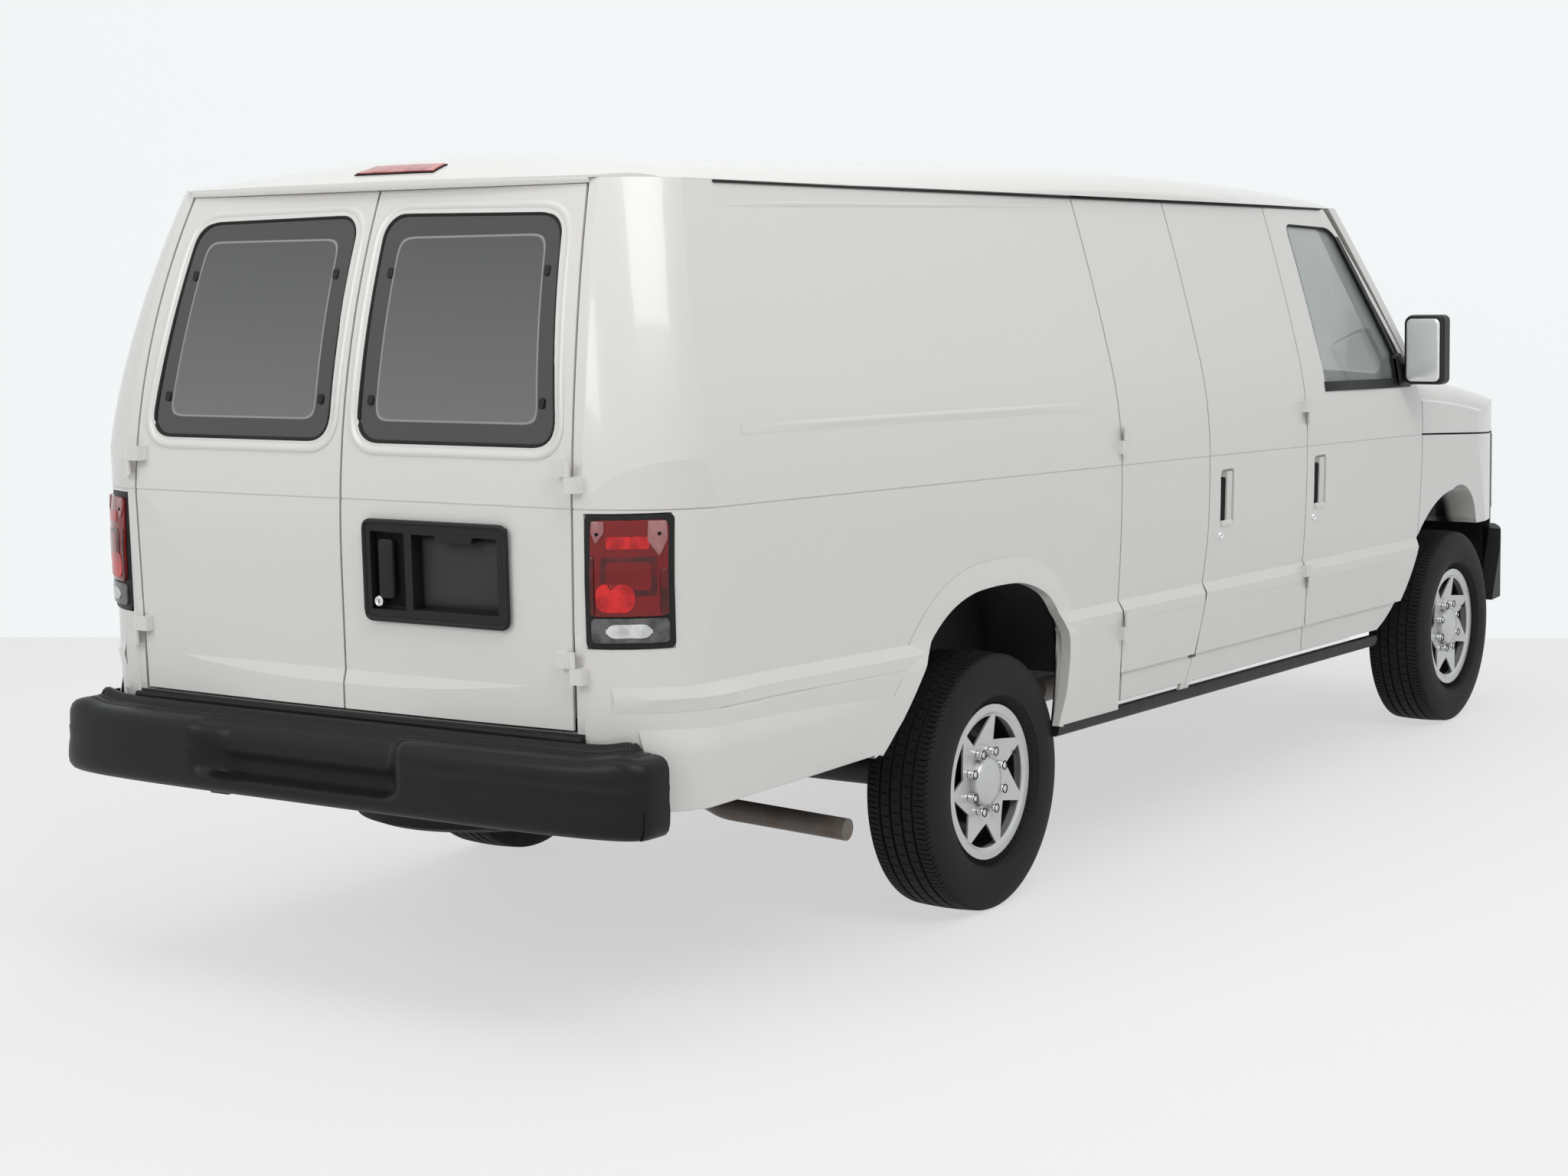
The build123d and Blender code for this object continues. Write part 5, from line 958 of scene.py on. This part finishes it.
def bumper_skin():
    """Profile swept round the tail: face, lipped top and tread pad; the middle sinks to a stepped recess."""
    plan = path_round_tail()
    along = np.gradient(plan, axis=0)
    along /= np.linalg.norm(along, axis=1, keepdims=True)
    inward = np.stack([along[:, 1], -along[:, 0]], 1)
    full = np.array([
        (0.116, 0.545), (0.060, 0.536), (0.020, 0.530), (0.010, 0.535), (0.003, 0.545), (0.000, 0.560),
        (0.000, 0.574), (0.000, 0.580), (0.0005, 0.590), (0.001, 0.600), (0.0015, 0.615), (0.002, 0.635),
        (0.0035, 0.650), (0.0060, 0.655), (0.0065, 0.672), (0.0085, 0.690), (0.0150, 0.704), (0.0260, 0.713),
        (0.0400, 0.717), (0.0560, 0.7185), (0.0600, 0.7150), (0.0640, 0.7190), (0.0760, 0.7200),
        (0.0800, 0.7165), (0.0840, 0.7205), (0.0930, 0.7230), (0.0980, 0.7330), (0.1060, 0.7390),
        (0.1150, 0.7390), (0.1160, 0.7000)])
    sunk = np.array([
        (0.116, 0.545), (0.060, 0.536), (0.020, 0.530), (0.010, 0.535), (0.003, 0.545), (0.000, 0.556),
        (0.002, 0.567), (0.010, 0.572), (0.034, 0.574), (0.052, 0.576), (0.060, 0.582), (0.062, 0.600),
        (0.060, 0.622), (0.052, 0.634), (0.050, 0.650), (0.052, 0.668), (0.056, 0.680), (0.062, 0.690),
        (0.070, 0.698), (0.080, 0.7040), (0.0820, 0.7060), (0.0840, 0.7090), (0.0870, 0.7120),
        (0.0900, 0.7150), (0.0930, 0.7185), (0.0960, 0.7230), (0.0990, 0.7330), (0.1060, 0.7390),
        (0.1150, 0.7390), (0.1160, 0.7000)])
    y = plan[:, 1]
    share = (rise(y, -0.295, -0.205) * (1 - rise(y, 0.335, 0.455)))[:, None]
    inwards = full[:, 0] * (1 - share) + sunk[:, 0] * share
    height = full[:, 1] * (1 - share) + sunk[:, 1] * share
    swell = np.exp(-((np.abs(y) - 0.93) / 0.06) ** 2)[:, None] * rise(height, 0.66, 0.715)
    height = height + 0.010 * swell
    waist = np.exp(-((height - 0.625) / 0.018) ** 2) * rise(np.abs(y), 0.40, 0.55)[:, None]
    inwards = inwards + 0.0035 * waist
    end = rise(np.abs(y), 0.975, 1.003)[:, None] * (plan[:, :1] > -2.93)
    back = end * (0.720 - height) * 0.10
    grid = np.stack([
        plan[:, :1] + inward[:, :1] * inwards - back, plan[:, 1:] + inward[:, 1:] * inwards, height], -1)
    return capped(grid)


bumper = surface("step_bumper", bumper_skin(), "van", "bumper_metal", None, (False, True), 32.0)
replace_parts(bumper, "rear_bumper")
channel = np.stack([np.full(60, -2.876), np.linspace(-0.768, 0.768, 60), np.full(60, 0.742)], 1)
joined("tail_step_seal", [tube_grid(channel, 0.0095, 10)], "van", "black_plastic", SEAL_RUBBER)


# ---------------------------------------------------------------- pressings of the quarter panels
def corner_y(x):
    """Half width of the rounded rear corner in plan: the circle that the lamps follow."""
    x0, y0 = lamp_arc(0.0, 0.0)
    x1, y1 = lamp_arc(1.0, 0.0)
    x2, y2 = lamp_arc(0.5, 0.0)
    matrix = np.array([[x0 - x1, y0 - y1], [x0 - x2, y0 - y2]]) * 2
    cx, cy = np.linalg.solve(
        matrix, [x0 ** 2 - x1 ** 2 + y0 ** 2 - y1 ** 2, x0 ** 2 - x2 ** 2 + y0 ** 2 - y2 ** 2])
    radius = np.hypot(x0 - cx, y0 - cy)
    return cy + np.sqrt(np.clip(radius ** 2 - (np.asarray(x, float) - cx) ** 2, 0, None))


def flank_y(x, z):
    x = np.asarray(x, float)
    return np.where(x < -2.56, np.minimum(side_y(x, z), corner_y(np.minimum(x, -2.56))), side_y(x, z))


def quarter_wedge(side):
    """Lower pressing of the quarter: a facet that faces up, proud at the corner, flush at the wheel arch."""
    x = np.linspace(-2.815, -1.795, 90)[:, None]
    top = np.interp(x, [-2.80, -2.435, -2.16, -1.786], [0.768, 0.754, 0.738, 0.7065])
    low = np.interp(x, [-2.80, -2.435, -2.16, -1.786], [0.720, 0.710, 0.706, 0.7055])
    foot = np.interp(x, [-2.80, -1.91, -1.86, -1.795], [0.5685, 0.5685, 0.600, 0.672])
    proud = 0.014 * rise(-x, 1.80, 2.45)
    share = np.array([0.0, 0.0, 0.5, 1.0])[None, :]
    upper = top + (low - top) * share
    lower = low + (foot - low) * np.array([0.1, 0.4, 0.7, 0.97, 1.0, 1.0])[None, :]
    z = np.concatenate([upper, lower], 1)
    lift = proud * np.array([-0.25, 0.0, 0.5, 1.0, 1.0, 1.0, 1.0, 1.0, 0.75, -0.25]) + 0.0006
    y = flank_y(x, z) + lift
    face = spots(x, side * y, z)
    back = spots(x, side * (flank_y(x, z) - 0.003), z)
    return np.concatenate([face, back[:, ::-1]], 1)


ARCH_TURN_IN = 0.022


def arch_lip(side, outline, width, proud, name):
    """Flare round a wheel arch: a band outside the opening that rises smoothly to its rolled edge."""
    outline = np.asarray(outline, float)
    along = np.gradient(outline, axis=0)
    along /= np.linalg.norm(along, axis=1, keepdims=True)
    outwards = np.stack([-along[:, 1], along[:, 0]], 1)
    share = np.array([1.0, 0.8, 0.55, 0.3, 0.1, 0.0, 0.0, 0.0])
    lift = np.array([0.0, 0.16, 0.50, 0.84, 0.98, 1.0, 0.2, -2.0])
    sweep = np.concatenate([[0], np.cumsum(np.linalg.norm(np.diff(outline, axis=0), axis=1))])
    sweep /= sweep[-1]
    fade = (rise(sweep, 0.0, 0.10) * (1 - rise(sweep, 0.93, 1.0)))[:, None]
    points = outline[:, None] + outwards[:, None] * (width * share)[None, :,
            None] * (0.35 + 0.65 * fade[:, None])
    x, z = points[..., 0], points[..., 1]
    height = np.where(lift < 0, -ARCH_TURN_IN, proud * lift * fade)
    y = flank_y(x, z) + height + 0.0006
    return surface(name, spots(x, side * y, z), "van", "body_paint", None, (False, False), 60.0)


REAR_ARCH = smooth_path([(-1.930, 0, 0.560), (-1.880, 0, 0.575), (-1.755, 0, 0.700), (-1.660, 0, 0.828),
                         (-1.560, 0, 0.905), (-1.440, 0, 0.942), (-1.290, 0, 0.948), (-1.130, 0, 0.938),
                         (-0.985, 0, 0.880), (-0.905, 0, 0.790), (-0.888, 0, 0.700), (-0.898, 0, 0.600),
                         (-0.925, 0, 0.485)], 0.09)[:, ::2]
for side, word in SIDE_NAMES.items():
    surface(f"quarter_wedge_{word}", quarter_wedge(side), "van", "body_paint", None, (False, True), 30.0)
    arch_lip(side, REAR_ARCH, 0.075, 0.009, f"arch_flare_rear_{word}")


CREASE_KNEE = 0.770


def crease_strip(name, body, side, top_span, low_span):
    """Sharpens the side crease: a facet that faces up, then a face that runs down to the widest line."""
    u = np.linspace(0, 1, 80)[:, None]
    out = np.array([0.0, 0.5, 1.0, 1.0])[None, :]
    drop = np.array([0.0, 0.5, 1.0, 2.05])[None, :]
    low = drop / drop.max()
    start = top_span[0] + (low_span[0] - top_span[0]) * low
    x = start + (top_span[1] + (low_span[1] - top_span[1]) * low - start) * u
    z = CREASE - RAKE * x + 0.010 * rise(-x, 1.7, 2.5) + (CREASE_KNEE - CREASE) * drop
    inner, outer = flank_y(x, CREASE - RAKE * x), flank_y(x, WIDEST - RAKE * x)
    corner = rise(-x, 2.50, 2.62) * (0.0085 * (out > 0.9) * (drop < 1.5) + 0.00425 * (out == 0.5))
    face = spots(x, side * (inner + (outer - inner) * out + 0.0008 + corner), z)
    back = spots(x, side * (inner - 0.002), z)
    return surface(
        name, np.concatenate([face, back[:, ::-1]], 1), body, "body_paint", None, (False, True), 18.0)


ARCH_ENDS = ((-1.652, -1.694), (-0.910, -0.882))
for side, word in SIDE_NAMES.items():
    wall_end = (-0.550, -0.550) if side == RIGHT else (0.814, 0.814)
    crease_strip(f"crease_tail_{word}", "van", side, (-2.846, ARCH_ENDS[0][0]), (-2.846, ARCH_ENDS[0][1]))
    crease_strip(f"crease_mid_{word}", "van", side, (ARCH_ENDS[1][0], wall_end[0]),
                 (ARCH_ENDS[1][1], wall_end[1]))
    crease_strip(f"crease_cab_{word}", f"front_door_{word}", side, (0.822, 1.857), (0.822, 1.819))
crease_strip("crease_side_door_rear", "side_door_rear", RIGHT, (-0.5425, 0.030), (-0.5425, 0.014))
crease_strip("crease_side_door_front", "side_door_front", RIGHT, (0.038, 0.8135), (0.024, 0.8135))


def pressed_line(name, side, body, ends, heights, reach, proud):
    """A long low ridge: it swells from nothing at each end, steep above and gentle below."""
    sharp = 0.35                   # how far up the ridge lies, of the half width
    u = np.linspace(0, 1, 90)[:, None]
    v = np.linspace(-1, 1, 9)[None, :]
    x = ends[0] + (ends[1] - ends[0]) * u + 0 * v
    z = heights[0] + (heights[1] - heights[0]) * u + reach * v
    shape = np.where(v > sharp, (1 - v) / (1 - sharp), (1 + v) / (1 + sharp))
    shape = shape * shape * (3 - 2 * shape)
    lift = proud * shape * rise(u, 0, 0.22) * (1 - rise(u, 0.72, 1)) + 0.0004
    return surface(
        name, np.stack([x, side * (side_y(x, z) + lift), z], -1), body, "body_paint", None, (False, False),
        60.0)


for side, word in SIDE_NAMES.items():
    pressed_line(f"waist_pressing_{word}", side, "van", (-2.50, -0.66), (1.468, 1.413), 0.013, 0.0035)
    pressed_line(f"roof_line_pressing_{word}", side, "van", (-2.36, -0.66), (2.0125, 2.0035), 0.006, 0.0022)


def pane_bevel(side):
    """Sloped body-coloured frame round a tail pane: from the door's skin it falls inwards to the glass."""
    rings = []
    for grow, lift in (
            (0.030, 0.0004), (0.026, 0.0032), (0.020, 0.0038), (0.008, -0.0010), (0.0055, -0.0060)):
        outline = tail_window(side, grow)
        rings.append(np.stack([tail_x(outline[:, 0], outline[:, 1]) - lift, outline[:, 0], outline[:, 1]], 1))
    return np.stack(rings)


for side, word in SIDE_NAMES.items():
    surface(f"pane_bevel_{word}", pane_bevel(side), f"rear_door_{word}", "body_paint", None, (False, True),
            60.0)

for side, word in SIDE_NAMES.items():
    edge_strip = np.stack(np.meshgrid([0.7445, 0.7715], np.linspace(0.744, 1.004, 30)), -1)
    edge_strip = np.concatenate([edge_strip[:, 0], edge_strip[::-1, 1]]) * [side, 1]
    pad(f"corner_edge_{word}", edge_strip, on_tail(-0.001), 0.0, "van", "body_paint", None, 0.002, -0.030,
        0.0, 2)


# ---------------------------------------------------------------- sills, painted shade lines under the gutters, and seals
for side, word in SIDE_NAMES.items():
    x = np.linspace(-0.915, 1.490, 80)[:, None]
    flange = np.array([
        (0.950, 0.004), (0.979, 0.004), (0.983, -0.004), (0.978, -0.026), (0.970, -0.034), (0.958, -0.034),
        (0.950, -0.028)])
    sill = spots(x, side * flange[:, 0], SILL - RAKE * x + flange[:, 1])
    surface(f"sill_flange_{word}", capped(sill), "van", "frame_black", None, (False, True))
    edge = np.linspace(-2.38, 1.30, 120)
    gutter = spots(edge, side * (side_y(edge, GUTTER - RAKE * edge) + 0.003), 2.0160 - RAKE * edge)
    # painted shade: a thin black tube along the flank under the drip rail's lip, standing for its shadow line
    joined(f"gutter_shade_line_{word}", [tube_grid(gutter, 0.0035, 8)], "van", "frame_black", SEAL_RUBBER)
    ring = smooth_path([(1.000, 0, 1.362), (0.972, 0, 1.935), (1.330, 0, 1.918), (1.390, 0, 1.880),
                        (1.752, 0, 1.385), (1.752, 0, 1.335), (1.380, 0, 1.3485), (1.000, 0, 1.362)],
                       0.035)[:-1]
    ring = np.concatenate([ring[1:], ring[:1]])
    ring = dense(ring, 5)
    path = np.stack([ring[:, 0], side * (side_y(ring[:, 0], ring[:, 2]) - 0.006), ring[:, 2]], 1)
    joined(f"window_seal_{word}", [tube_grid(path, 0.0065, 8, True)], f"front_door_{word}", "black_plastic",
           SEAL_RUBBER)

for side, word in SIDE_NAMES.items():
    door = f"front_door_{word}"
    foot_strip = np.stack([
        np.linspace(0.992, 1.765, 60), np.interp(np.linspace(0.992, 1.765, 60), [0.992, 1.38, 1.765],
                                                 [1.372, 1.358, 1.345])], 1)
    foot_ring = np.concatenate([foot_strip + [0, -0.014], foot_strip[::-1] + [0, 0.020]])
    pad(f"window_foot_{word}", foot_ring, on_side(side, 0.0), 0.0035, door, "black_plastic", None, 0.002,
        -0.012, 0.0, 2)
    slope = np.linspace(0, 1, 30)[:, None]
    post = np.concatenate([
        np.array([1.372, 1.888]) + slope * [0.325, -0.500],
        (np.array([1.402, 1.888]) + slope * [0.325, -0.500])[::-1]])
    pad(f"window_post_{word}", post, on_side(side, 0.0), 0.0015, door, "black_plastic", None, 0.001, -0.010,
        0.0, 2)
    foot = smooth_path([(1.640, 0, 1.352), (1.640, 0, 1.452), (1.690, 0, 1.462), (1.765, 0, 1.372),
                        (1.765, 0, 1.338), (1.650, 0, 1.342), (1.640, 0, 1.352)], 0.012, 4)[:-1, ::2]
    pad(f"mirror_foot_{word}", dense(foot, 4), on_side(side, 0.0), 0.016, door, "black_plastic", None, 0.006,
        -0.012, 0.004, 4)

DOOR_SEAM_X = 0.818


def door_foot(name, body, side, first, last, seam):
    """Low hem of a door, between two offsets from a seam, from the sill to the door's step."""
    z = np.linspace(0.472 if body != "van" else 0.468, 0.567, 14) - RAKE * (first + last) / 2
    line = seam(z)
    outline = np.concatenate([np.stack([line + first, z], 1), np.stack([line + last, z], 1)[::-1]])
    return pad(name, outline, on_side(side, -0.0076), 0.0, body, "body_paint", None, 0.001, -0.012, 0.0, 2)


def cab_seam(z):
    return DOOR_SEAM_X + 0 * z


def leaf_seam(z):
    return np.interp(z, [0.44, 0.50, 0.53, 0.55, 0.58], [-0.1005, -0.0705, -0.0555, -0.0465, -0.033])


for side, word in SIDE_NAMES.items():
    door_foot(f"door_foot_{word}", f"front_door_{word}", side, 0.0045, 0.029, cab_seam)
door_foot("door_foot_side_front", "side_door_front", RIGHT, -0.026, -0.0045, cab_seam)
door_foot("leaf_foot_rear", "side_door_rear", RIGHT, -0.030, -0.0035, leaf_seam)
door_foot("leaf_foot_front", "side_door_front", RIGHT, 0.0035, 0.030, leaf_seam)


# ---------------------------------------------------------------- mirrors
for side, word in SIDE_NAMES.items():
    def on_mirror(u, v, depth, side=side):
        bowed = 0.0035 * (1 - (u / 0.065) ** 2) * (1 - (v / 0.115) ** 2)
        return np.stack([1.660 - depth - bowed * (depth > 0), side * (1.086 + u), 1.4715 + v], -1)

    body = f"front_door_{word}"
    pad(f"mirror_rim_{word}", rounded_outline(0.144, 0.248, 0.026), on_mirror, 0.0045, body, "black_plastic",
        None, 0.004, -0.004, 0, 4)
    pad(f"mirror_glass_{word}", rounded_outline(0.126, 0.228, 0.020), on_mirror, 0.0065, body,
        "black_plastic", MIRROR_FINISH, 0.0015, 0.001, 0.0, 6)

mirror_turn = full_turn(40)
rings = []
for size, depth in (
        (0.0, 0.0), (0.90, 0.0), (1.0, 0.006), (1.0, 0.018), (0.82, 0.032), (0.40, 0.040), (0.0, 0.041)):
    rings.append(spots(1.345 + depth, 0.125 * size * np.cos(mirror_turn),
                       1.830 + 0.034 * size * np.sin(mirror_turn) * (1 + 0.1 * np.cos(2 * mirror_turn))))
surface("cab_mirror", np.stack(rings), "van", "black_plastic", None, (False, True), 40.0)
stem = smooth_path([(1.380, 0, 1.838), (1.415, 0, 1.872), (1.440, 0, 1.902)], 0.02)
joined("cab_mirror_stem", [tube_grid(stem, 0.007, 10)], "van", "black_plastic")


# ---------------------------------------------------------------- cab seats
SQUARENESS = 0.30                  # exponent of the cushions' outline: 1 is round, 0 is square


def tilted(points, tilt, centre):
    """The points turned about Y, then moved from the origin to a centre."""
    turn = np.array([[cos(tilt), 0, sin(tilt)], [0, 1, 0], [-sin(tilt), 0, cos(tilt)]])
    return points @ turn.T + np.array(centre)


def pillow(centre, size, power=SQUARENESS, tilt=0.0, channels=()):
    """Crowned closed form: a superellipsoid with sides pulled in between its corners and sewn channels."""
    v = np.linspace(-pi / 2, pi / 2, 72)[:, None]
    u = full_turn(96)[None, :]

    def root(value):
        return np.sign(value) * np.abs(value) ** power

    round_z, z = root(np.cos(v)), root(np.sin(v)) * np.ones_like(u)
    x, y = round_z * root(np.cos(u)), round_z * root(np.sin(u))
    pinch = 0.06
    squeeze = 1 - pinch * (np.abs(z) ** 2) * 0.5
    side_pull = pinch * (1 - np.abs(z) ** 3)
    px = x * (1 - side_pull * np.cos(y * pi / 2) * np.abs(x)) * squeeze
    py = y * (1 - side_pull * np.cos(x * pi / 2) * np.abs(y)) * squeeze
    crown = 1 + 0.16 * np.cos(np.clip(px, -1, 1) * pi / 2) * np.cos(np.clip(py, -1, 1) * pi / 2)
    pz = z * np.where(z > 0, crown, 1)
    for at in channels:
        pz = pz - 0.11 * np.exp(-((py - at) / 0.035) ** 2) * (z > 0.4) * np.clip(1.15 - np.abs(px * py), 0, 1)
    points = np.stack([px * size[0] / 2, py * size[1] / 2, pz * size[2] / 2], -1)
    return tilted(points, tilt, centre), (False, True)


def seam(centre, size, tilt):
    """Piping round a cushion at a share of its height: a tube along the same rounded square."""
    u = full_turn(120)
    height, power = 0.55, SQUARENESS
    level = (1 - abs(height) ** (2 / power)) ** (power / 2) * 0.97
    points = np.stack([
        np.sign(np.cos(u)) * np.abs(np.cos(u)) ** power * size[0] / 2 * level,
        np.sign(np.sin(u)) * np.abs(np.sin(u)) ** power * size[1] / 2 * level,
        np.full_like(u, height * size[2] / 2)], 1)
    return tube_grid(tilted(points, tilt, centre), 0.0042, 8, True)


BACK_TILT = radians(-82)
for side, word in SIDE_NAMES.items():
    middle = side * 0.525
    cushion_at, cushion_size = (0.745, middle, 0.940), (0.500, 0.470, 0.135)
    back_at, back_size = (0.475, middle, 1.285), (0.560, 0.450, 0.115)
    cushion = joined(
        f"seat_cushion_{word}", [pillow(cushion_at, cushion_size, channels=(-0.52, 0.52))], "van",
        "seat_cloth", None, 60.0)
    back = joined(f"seat_back_{word}", [pillow(back_at, back_size, tilt=BACK_TILT, channels=(-0.52, 0.52))],
                  "van", "seat_cloth", None, 60.0)
    rest = joined(f"head_rest_{word}", [pillow((0.425, middle, 1.650), (0.150, 0.270, 0.085), 0.45,
                                               tilt=BACK_TILT)], "van", "seat_cloth", None, 60.0)
    joined(f"seat_piping_{word}", [seam(cushion_at, cushion_size, 0.0), seam(back_at, back_size, BACK_TILT)],
           "van", "seat_cloth", SEAL_RUBBER)
    base = rounded_outline(0.400, 0.360, 0.030) + [0.690, middle]
    plinth = pad(f"seat_plinth_{word}", base, lambda u, v, depth: np.stack([u, v, depth], -1), 0.876, "van",
                 "trim_plastic", None, 0.012, 0.674, 0.0, 3)
    posts = [tube_grid(np.linspace((0.440, middle + off, 1.545), (0.430, middle + off, 1.625), 6), 0.006, 10)
             for off in (-0.055, 0.055)]
    joined(f"head_rest_posts_{word}", posts, "van", "cover_silver", CHROME_FINISH)
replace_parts(plinth, "seats")


# ---------------------------------------------------------------- studio
def lamp(name, place, target, size, power):
    data = bpy.data.lights.new(name, "AREA")
    data.shape, data.size, data.size_y, data.energy = "RECTANGLE", *size, power
    thing = placed(name, data)
    thing.location = place
    thing.rotation_euler = (Vector(target) - Vector(place)).to_track_quat("-Z", "Y").to_euler()


CAMERA_AT = Vector((-7.8916, -4.8262, 1.9164))
YAW, PITCH, ROLL = radians(34.622), radians(-7.225), radians(-1.2845)
ahead = Vector((cos(PITCH) * cos(YAW), cos(PITCH) * sin(YAW), sin(PITCH)))
level_right = ahead.cross(Vector((0, 0, 1))).normalized()
level_up = level_right.cross(ahead)
right = level_right * cos(ROLL) + level_up * sin(ROLL)
above = level_up * cos(ROLL) - level_right * sin(ROLL)
camera_data = bpy.data.cameras.new("camera")
camera_data.lens, camera_data.sensor_width = 62.77, 36.0
camera_data.clip_end = 200
camera = placed("camera", camera_data)
camera.matrix_world = Matrix.Translation(CAMERA_AT) @ Matrix((right, above, -ahead)).transposed().to_4x4()
bpy.context.scene.camera = camera

wall_foot = Vector((2.88, 2.83, 0))
wall_way = Vector((0.4285, -0.9035, 0))


def stage_sheet(name, corners, finish):
    mesh = bpy.data.meshes.new(name)
    mesh.from_pydata([tuple(c) for c in corners], [], [(0, 1, 2, 3)])
    thing = placed(name, mesh)
    mesh.materials.append(finish)


def stage_finish(name, colour, glowing, share, one_sided=False):
    """Diffuse surface that the camera also sees as an even pale tone: it keeps its shadows but stays pale."""
    finish = Finish(name, Roughness=0.55, Specular_IOR_Level=0.15)
    cloud = finish.noise(0.45, 3.0)
    finish.link("Base Color", finish.mix(cloud, colour, tinted(colour, 0.985)))
    rays = finish.add("ShaderNodeLightPath")
    outputs = rays.socket.node.outputs
    camera_ray, glossy_ray, through_ray = (
        Wire(finish, outputs[f"Is {kind} Ray"]) for kind in ("Camera", "Glossy", "Transmission"))
    seen = camera_ray + glossy_ray + through_ray
    glow_node = finish.add("ShaderNodeEmission", sockets={0: glowing, 1: 1.0})
    shaded = Wire(finish, finish.shader.outputs[0])
    mixed = finish.add("ShaderNodeMixShader", sockets={0: seen * share, 1: shaded, 2: glow_node})
    if one_sided:
        clear = finish.add("ShaderNodeBsdfTransparent")
        behind = finish.add("ShaderNodeNewGeometry", out="Backfacing")
        mixed = finish.add("ShaderNodeMixShader", sockets={0: behind, 1: mixed, 2: clear})
    finish.tree.links.new(mixed.socket, finish.tree.nodes["Material Output"].inputs["Surface"])
    return finish.material


FLOOR_HALF = 26.0
stage_sheet("studio_floor", [(-FLOOR_HALF, -FLOOR_HALF, 0), (FLOOR_HALF, -FLOOR_HALF, 0),
                             (FLOOR_HALF, FLOOR_HALF, 0), (-FLOOR_HALF, FLOOR_HALF, 0)],
            stage_finish("studio_floor", (0.80, 0.80, 0.805), (0.955, 0.955, 0.96), 0.62))
stage_sheet("studio_wall", [wall_foot - wall_way * 24, wall_foot + wall_way * 24,
                            wall_foot + wall_way * 24 + Vector((0, 0, 14)),
                            wall_foot - wall_way * 24 + Vector((0, 0, 14))],
            stage_finish("studio_wall", (0.90, 0.915, 0.92), (0.925, 0.955, 0.96), 0.9, True))

WORLD_LIGHT = 0.34
scene = bpy.context.scene
world = bpy.data.worlds.new("studio")
scene.world = world
world.use_nodes = True
nodes, links = world.node_tree.nodes, world.node_tree.links
light, shown_world = nodes["Background"], nodes.new("ShaderNodeBackground")
seen_by = nodes.new("ShaderNodeLightPath")
light.inputs[0].default_value, light.inputs[1].default_value = (0.98, 0.99, 1.0, 1), WORLD_LIGHT
shown_world.inputs[0].default_value, shown_world.inputs[1].default_value = (0.925, 0.955, 0.96, 1), 1.0
bright_for = seen_by.outputs["Is Camera Ray"]
for label in ("Is Glossy Ray", "Is Transmission Ray"):
    either = nodes.new("ShaderNodeMath")
    either.operation = "MAXIMUM"
    links.new(bright_for, either.inputs[0])
    links.new(seen_by.outputs[label], either.inputs[1])
    bright_for = either.outputs[0]
blend = nodes.new("ShaderNodeMixShader")
links.new(bright_for, blend.inputs[0])
links.new(light.outputs[0], blend.inputs[1])
links.new(shown_world.outputs[0], blend.inputs[2])
links.new(blend.outputs[0], nodes["World Output"].inputs["Surface"])
scene.view_settings.view_transform = "Standard"
lamp("key", (-4.2, -6.6, 8.2), (0, -0.5, 1.0), (6, 4), 330)
lamp("overhead", (-0.5, 0.0, 7.0), (-0.5, 0, 0), (10, 6), 190)
lamp("rear_fill", (-9.0, 1.5, 5.0), (-2.8, 0, 1.0), (4, 3), 150)
